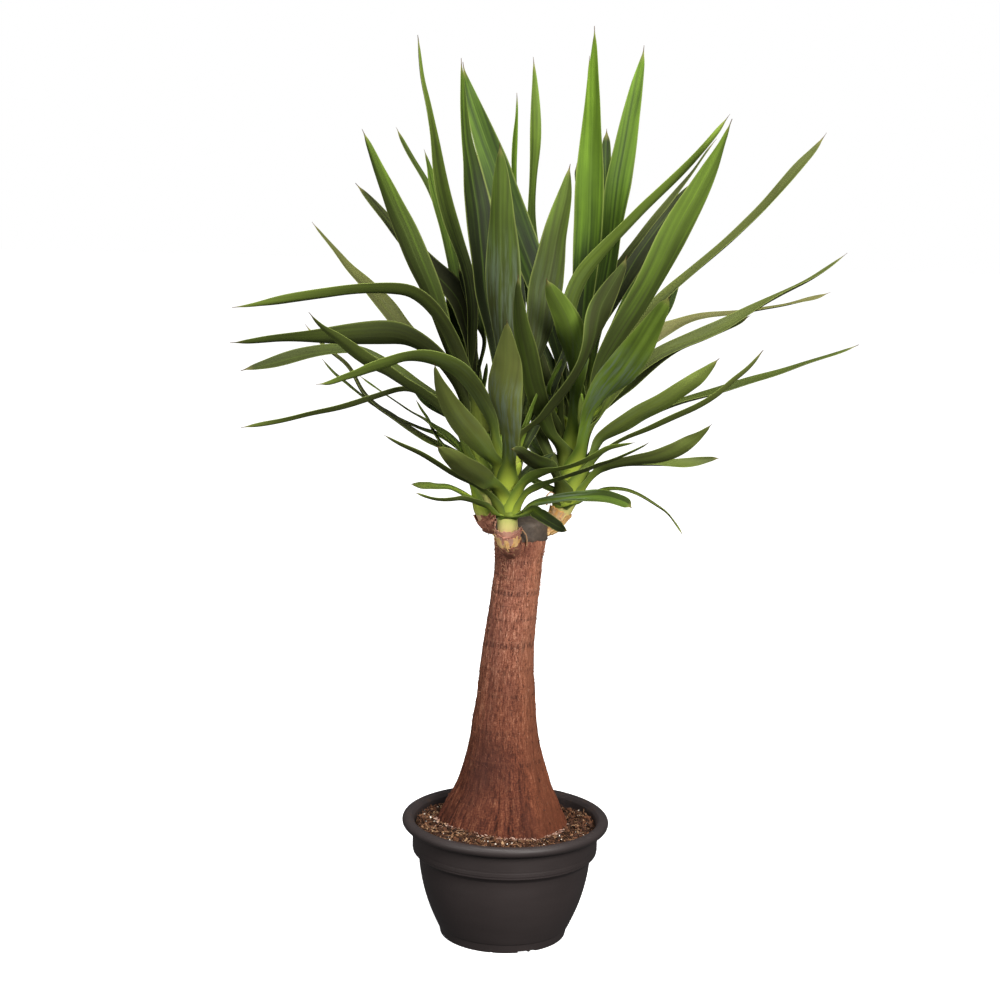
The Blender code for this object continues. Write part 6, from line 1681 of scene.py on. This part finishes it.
def make_wax():
    na = 120
    rows, rr = [], []
    a = np.linspace(0, 2 * math.pi, na, endpoint=False)
    ca, sa = np.cos(a), np.sin(a)
    rim_drop = 0.0025 * grain(ca * 3, sa * 3, 0.2, 101) + 0.0012 * grain(ca * 9, sa * 9, 1.2, 102)
    for t, dr in ((0.00, 0.0004), (0.06, 0.0010), (0.2, 0.0009), (0.4, 0.0006), (0.6, 0.0006), (0.8, 0.0004), (0.93, -0.0002), (1.0, -0.0016)):
        c = neck_c.lerp(top_c, t)
        z = c.z + (rim_drop + 0.0048) * (1 - t) ** 1.5
        r = neck_r + dr + 0.0006 * grain(ca * 2.2, sa * 2.2, t * 6, 103) + 0.00025 * grain(ca * 8, sa * 8, t * 14, 104)
        rows.append(np.stack([c.x + r * ca, r * sa, z], -1))
    edge = rows[-1]
    for k, (q, up) in enumerate(((0.12, 0.0012), (0.30, 0.0022), (0.55, 0.0029), (0.8, 0.0031))):
        cc = np.array(top_c[:])
        p = edge * (1 - q) + cc * q
        p[:, 2] = top_c.z + up + 0.0007 * grain(p[:, 0] / 0.006, p[:, 1] / 0.006, 0.5, 105)
        rows.append(p)
    inner = []
    for t, dr in ((1.0, -SEAL_T), (0.5, -SEAL_T), (0.02, -SEAL_T)):
        c = neck_c.lerp(top_c, t)
        r = neck_r + dr
        z = c.z + ((rim_drop + 0.0048) * (1 - t) ** 1.5 if t < 0.3 else 0)
        inner.append(np.stack([c.x + r * ca, r * sa, np.broadcast_to(z, ca.shape)], -1))
    vl, faces = [], []
    idx = []
    for row in rows:
        idx.append(list(range(len(vl), len(vl) + na)))
        vl.extend(row)
    for r0, r1 in zip(idx, idx[1:]):
        faces += [(r0[k], r0[(k + 1) % na], r1[(k + 1) % na], r1[k]) for k in range(na)]
    ctr = len(vl)
    vl.append(tuple(np.array(top_c[:]) + np.array([0, 0, 0.0031])))
    faces += [(idx[-1][k], idx[-1][(k + 1) % na], ctr) for k in range(na)]
    # inner skin down to a closed hollow
    iid = []
    for row in reversed(inner):
        iid.append(list(range(len(vl), len(vl) + na)))
        vl.extend(row)
    prev = idx[0]
    for r1 in iid:
        faces += [(prev[(k + 1) % na], prev[k], r1[k], r1[(k + 1) % na]) for k in range(na)]
        prev = r1
    c2 = len(vl)
    vl.append(tuple(np.array(top_c[:]) + np.array([0, 0, 0.0004])))
    faces += [(prev[(k + 1) % na], prev[k], c2) for k in range(na)]
    if volume(vl, faces) < 0:
        faces = [tuple(reversed(f)) for f in faces]
    obj("wound_wax_cap", vl, faces, MAT_WAX, 50.0, ("wound_seal",))


make_wax()


# ----------------------------------------------------------------- shoots
def shoot_material():
    s = Shade("shoot_skin")
    z = s.attr("shoot_up")                       # 0 at the foot, 1 at the tip
    co = s.coords()
    n = s.noise(s.scaled(co, (160.0, 160.0, 40.0)), 1.0, 4.0, 0.6)
    ring = s.noise(s.join(s.math("MULTIPLY", z, 60.0), 0.0, 0.0), 1.0, 2.0, 0.5)
    t = s.math("MULTIPLY_ADD", s.math("SUBTRACT", n, 0.5), 0.10, z)
    col = s.ramp(t, [(0.0, (0.360, 0.140, 0.090)), (0.10, (0.520, 0.250, 0.150)), (0.17, (0.640, 0.420, 0.230)),
                     (0.22, (0.640, 0.520, 0.220)), (0.30, (0.450, 0.480, 0.120)), (0.40, (0.240, 0.360, 0.047))])
    col = s.mix(s.math("MULTIPLY", s.step(ring, 0.60, 0.75), 0.35), col, (0.16, 0.22, 0.04))
    return s.done(col, 0.45, s.bump(s.math("MULTIPLY_ADD", ring, 1.5, n), 0.35, 0.0008), Specular_IOR_Level=0.4)


MAT_SHOOT = shoot_material()


def make_shoot(key):
    pts, rad = SHOOT_AXIS[key]
    ts = [0.0]
    for a, b in zip(pts, pts[1:]):
        ts.append(ts[-1] + (b - a).length)
    nrow, na = 72, 48
    rows, ups = [], []
    side = Vector((0, 1, 0))
    for i in range(nrow):
        t = ts[-1] * i / (nrow - 1)
        p = catmull(pts, ts, t)
        e = ts[-1] * 0.004
        d = (catmull(pts, ts, min(t + e, ts[-1])) - catmull(pts, ts, max(t - e, 0.0))).normalized()
        side = (side - d * side.dot(d)).normalized()
        up = d.cross(side)
        r = float(np.interp(t, ts, rad))
        r *= 1 + 0.012 * math.sin(t / 0.0016) * (1 if i > 6 else 0)
        row = []
        for k in range(na):
            a = 2 * math.pi * k / na
            q = r * (1 + 0.02 * math.sin(3 * a + t * 60))
            if i == nrow - 1:
                q *= 0.4
            row.append(tuple(p + (side * math.cos(a) + up * math.sin(a)) * q))
        rows.append(row)
        ups.append(t / ts[-1])
    vl = [p for row in rows for p in row]
    faces = []
    for i in range(nrow - 1):
        a, b = i * na, (i + 1) * na
        faces += [(a + k, a + (k + 1) % na, b + (k + 1) % na, b + k) for k in range(na)]
    faces.append(tuple(reversed(range(na))))
    faces.append(tuple(range((nrow - 1) * na, nrow * na)))
    if volume(vl, faces) < 0:
        faces = [tuple(reversed(f)) for f in faces]
    ob = obj("shoot_stem_" + key, vl, faces, MAT_SHOOT, 40.0, ("shoot_" + key,))
    put(ob, "shoot_up", np.repeat(np.array(ups), na))
    return ts


SHOOT_TS = {k: make_shoot(k) for k in SHOOTS}

# papery skins and fibres at the foot of each shoot
MAT_PAPER = simple_tone("dry_sheath", [(0.0, (0.165, 0.062, 0.040)), (0.35, (0.360, 0.150, 0.095)), (0.7, (0.560, 0.330, 0.170)),
                                       (1.0, (0.690, 0.480, 0.240))], 0.75, 300.0, 0.0008, 0.6)


def shoot_frame(key, t):
    pts, rad = SHOOT_AXIS[key]
    ts = SHOOT_TS[key]
    p = catmull(pts, ts, t)
    e = 0.0015
    d = (catmull(pts, ts, min(t + e, ts[-1])) - catmull(pts, ts, max(t - e, 0.0))).normalized()
    return np.array(p[:]), np.array(d[:]), float(np.interp(t, ts, rad))


def wrap(name, key, t0, t1, a0, span, lift, flare, seed, rag=0.35, mat=None, tone=None):
    """A thin dry skin round a shoot from t0 to t1 along it, with a ragged upper edge."""
    na, nt = max(10, int(span / 0.12)), 7
    rng = np.random.default_rng(seed)
    grid = []
    jag = grain(np.linspace(0, span, na) * 3.0, 0.5, seed * 1.7, 200 + seed) * 0.6 + rng.uniform(-0.4, 0.4, na)
    for i in range(nt):
        row = []
        for k in range(na):
            f = i / (nt - 1)
            end = t1 + (t1 - t0) * rag * jag[k]
            t = t0 + (end - t0) * f
            p, d, r = shoot_frame(key, t)
            ref = np.array([0.0, -1.0, 0.0])
            ref -= d * ref.dot(d)
            ref /= np.linalg.norm(ref)
            sd = np.cross(d, ref)
            a = a0 + span * (k / (na - 1) - 0.5)
            o = ref * math.cos(a) + sd * math.sin(a)
            edge = abs(k / (na - 1) - 0.5) * 2
            rr = r + lift + flare * f ** 2 + 0.0008 * edge ** 4 + 0.0004 * math.sin(9 * a + seed)
            row.append(p + o * rr)
        grid.append(row)
    G = np.array(grid)
    da, dl = np.gradient(G, axis=1), np.gradient(G, axis=0)
    nn = np.cross(da, dl)
    nn /= np.linalg.norm(nn, axis=2)[..., None]
    th = 0.00045
    top, bot = G + nn * th / 2, G - nn * th / 2
    n = nt * na
    idx = np.arange(n).reshape(nt, na)
    a, b, c, d = idx[:-1, :-1].ravel(), idx[:-1, 1:].ravel(), idx[1:, 1:].ravel(), idx[1:, :-1].ravel()
    faces = list(zip(a, b, c, d)) + list(zip(d + n, c + n, b + n, a + n))
    faces += list(zip(idx[:-1, 0], idx[1:, 0], idx[1:, 0] + n, idx[:-1, 0] + n))
    faces += list(zip(idx[:-1, -1], idx[:-1, -1] + n, idx[1:, -1] + n, idx[1:, -1]))
    faces += list(zip(idx[0, :-1], idx[0, :-1] + n, idx[0, 1:] + n, idx[0, 1:]))
    faces += list(zip(idx[-1, :-1], idx[-1, 1:], idx[-1, 1:] + n, idx[-1, :-1] + n))
    vl = np.concatenate([top.reshape(-1, 3), bot.reshape(-1, 3)])
    if volume(vl, faces) < 0:
        faces = [tuple(reversed(f)) for f in faces]
    ob = obj(name, vl, faces, mat or MAT_PAPER, 60.0)
    put(ob, "bit_tone", np.full(2 * n, rng.uniform(0.15, 0.85) if tone is None else tone))
    return ob


MAT_OCHRE = simple_tone("dry_tuft", [(0.0, (0.36, 0.15, 0.055)), (0.5, (0.76, 0.42, 0.140)), (1.0, (0.93, 0.64, 0.290))], 0.75, 420.0)
wraps = {"left": (0.000, 0.034, 9), "front": (0.004, 0.028, 8), "right": (0.002, 0.046, 12)}
for key, (lo, hi, num) in wraps.items():
    rng = np.random.default_rng(len(key) * 7 + 3)
    for i in range(num):
        f = i / max(num - 1, 1)
        t0 = lo + (hi - lo) * f * 0.72
        t1 = t0 + rng.uniform(0.006, 0.012)
        wrap("dry_skin_%s_%d" % (key, i), key, t0, t1, rng.uniform(-2.4, 2.4), rng.uniform(1.2, 2.8),
             0.0006 + 0.0003 * (i % 3), rng.uniform(0.0002, 0.0016), i + 20 * len(key),
             mat=MAT_OCHRE if key == "right" and i % 3 != 1 else None,
             tone=0.45 + 0.5 * ((i * 0.37) % 1.0) if key == "right" else None)
    items = []
    for _ in range(46):
        t = rng.uniform(lo, hi * 0.85)
        p, d, r = shoot_frame(key, t)
        ref = np.array([0.0, -1.0, 0.0])
        ref -= d * ref.dot(d)
        ref /= np.linalg.norm(ref)
        sd = np.cross(d, ref)
        a = rng.uniform(-math.pi, math.pi)
        o = ref * math.cos(a) + sd * math.sin(a)
        tang = np.cross(d, o)
        dr = tang * rng.normal(0, 1.0) + d * rng.normal(-0.3, 0.7) + o * rng.uniform(0.05, 0.5)
        items.append((p + o * (r + 0.0006), dr, o, rng.uniform(0.003, 0.010), rng.uniform(0.0004, 0.0013),
                      rng.uniform(-0.001, 0.002), rng.normal(0, 0.8)))
    strips("shoot_fibres_" + key, items, MAT_PAPER, 40 + len(key), 0.0003)


def twig(name, pts, r0, r1, mat):
    """A thin round root or tendril along points."""
    pts = [Vector(p) for p in pts]
    ts = [0.0]
    for a, b in zip(pts, pts[1:]):
        ts.append(ts[-1] + (b - a).length)
    n, na = 22, 8
    vl, faces = [], []
    side = Vector((0.3, 1, 0.2))
    for i in range(n):
        t = ts[-1] * i / (n - 1)
        p = catmull(pts, ts, t)
        e = ts[-1] * 0.02
        d = (catmull(pts, ts, min(t + e, ts[-1])) - catmull(pts, ts, max(t - e, 0.0))).normalized()
        side = (side - d * side.dot(d)).normalized()
        up = d.cross(side)
        r = r0 + (r1 - r0) * i / (n - 1)
        vl += [tuple(p + (side * math.cos(2 * math.pi * k / na) + up * math.sin(2 * math.pi * k / na)) * r) for k in range(na)]
    for i in range(n - 1):
        a, b = i * na, (i + 1) * na
        faces += [(a + k, a + (k + 1) % na, b + (k + 1) % na, b + k) for k in range(na)]
    faces.append(tuple(reversed(range(na))))
    faces.append(tuple(range((n - 1) * na, n * na)))
    if volume(vl, faces) < 0:
        faces = [tuple(reversed(f)) for f in faces]
    ob = obj(name, vl, faces, mat, 50.0)
    put(ob, "bit_tone", np.full(len(vl), 0.7))


# ochre dry tuft below the left shoot, at the trunk's shoulder
MAT_PINK = simple_tone("pink_skin", [(0.0, (0.22, 0.080, 0.060)), (0.5, (0.50, 0.215, 0.150)), (1.0, (0.74, 0.45, 0.33))], 0.75, 420.0)
wrap("bark_lap_a", "front", 0.004, 0.026, 0.0, 3.4, 0.0018, 0.0008, 906, 0.20, MAT_PAPER, 0.30)
wrap("bark_lap_b", "front", 0.002, 0.023, 0.3, 3.2, 0.0026, 0.0010, 907, 0.30, MAT_PAPER, 0.18)
wrap("ochre_scale_a", "front", 0.0255, 0.036, -0.20, 2.1, 0.0020, 0.0010, 901, 0.25, MAT_OCHRE, 0.82)
wrap("ochre_scale_b", "front", 0.0235, 0.032, 0.60, 1.6, 0.0017, 0.0010, 902, 0.30, MAT_OCHRE, 0.62)
wrap("pink_ring_a", "front", 0.034, 0.0425, 0.0, 3.6, 0.0014, 0.0014, 903, 0.35, MAT_PINK, 0.70)
wrap("pink_ring_b", "front", 0.031, 0.0390, 0.5, 2.9, 0.0020, 0.0018, 904, 0.45, MAT_PINK, 0.55)
wrap("pink_ring_c", "front", 0.029, 0.0370, -0.7, 2.2, 0.0018, 0.0016, 905, 0.45, MAT_PINK, 0.80)
rng = np.random.default_rng(606)
items = []
for _ in range(70):
    x, y = rng.uniform(495, 520), rng.uniform(531, 547)
    dp = float(np.interp(x, [495, 502, 510, 520], [-0.022, -0.038, -0.044, -0.036])) + 0.0006 * (y - 531)
    p = np.array(seen(x, y, dp)[:])
    o = p - np.array([neck_c.x, neck_c.y, p[2]])
    o /= np.linalg.norm(o)
    tang = np.array([-o[1], o[0], 0.0])
    d = tang * rng.normal(0, 1.0) + np.array([0, 0, rng.normal(-0.1, 0.5)]) + o * rng.uniform(-0.05, 0.2)
    items.append((p, d, o, rng.uniform(0.0025, 0.006), rng.uniform(0.0005, 0.0012), rng.uniform(-0.0004, 0.0014), rng.normal(0, 0.6)))
strips("dry_tuft", items, MAT_OCHRE, 61, 0.0004)

# short curly fibres on the upper bark
rng = np.random.default_rng(707)
items = []
fibre_tone = []
for _ in range(150):
    py = rng.uniform(547, 592)
    c, rad = trunk_row(py)
    a = rng.uniform(0, 2 * math.pi)
    o = np.array([math.cos(a), math.sin(a), 0.0])
    tang = np.array([-math.sin(a), math.cos(a), 0.0])
    p = np.array([c.x, 0.0, c.z]) + o * (rad + 0.0002)
    d = tang * (1.0 if rng.uniform() < 0.5 else -1.0) + np.array([0, 0, rng.normal(0, 0.45)]) + o * rng.uniform(-0.05, 0.02)
    items.append((p, d, o, rng.uniform(0.0025, 0.0070), rng.uniform(0.0004, 0.0009), rng.uniform(-0.0004, 0.0002), rng.normal(0, 0.5)))
    fibre_tone.append(rng.uniform(0.15, 0.55))
strips("curly_fibres", items, MAT_PAPER, 62, 0.00035, fibre_tone)

twig("root_fibre", [seen(517, 527, -0.030), seen(521, 529, -0.034), seen(525.5, 534, -0.033), seen(527, 541, -0.030),
                    seen(526.5, 546, -0.028)], 0.0008, 0.0005, MAT_PAPER)
twig("tendril", [seen(547, 505, 0.004), seen(545.8, 500, 0.002), seen(547, 495.5, 0.0), seen(550.5, 492.2, 0.0),
                 seen(554, 493.5, 0.002)], 0.0010, 0.0005, MAT_PAPER)

# ----------------------------------------------------------------- end
lo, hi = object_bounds()
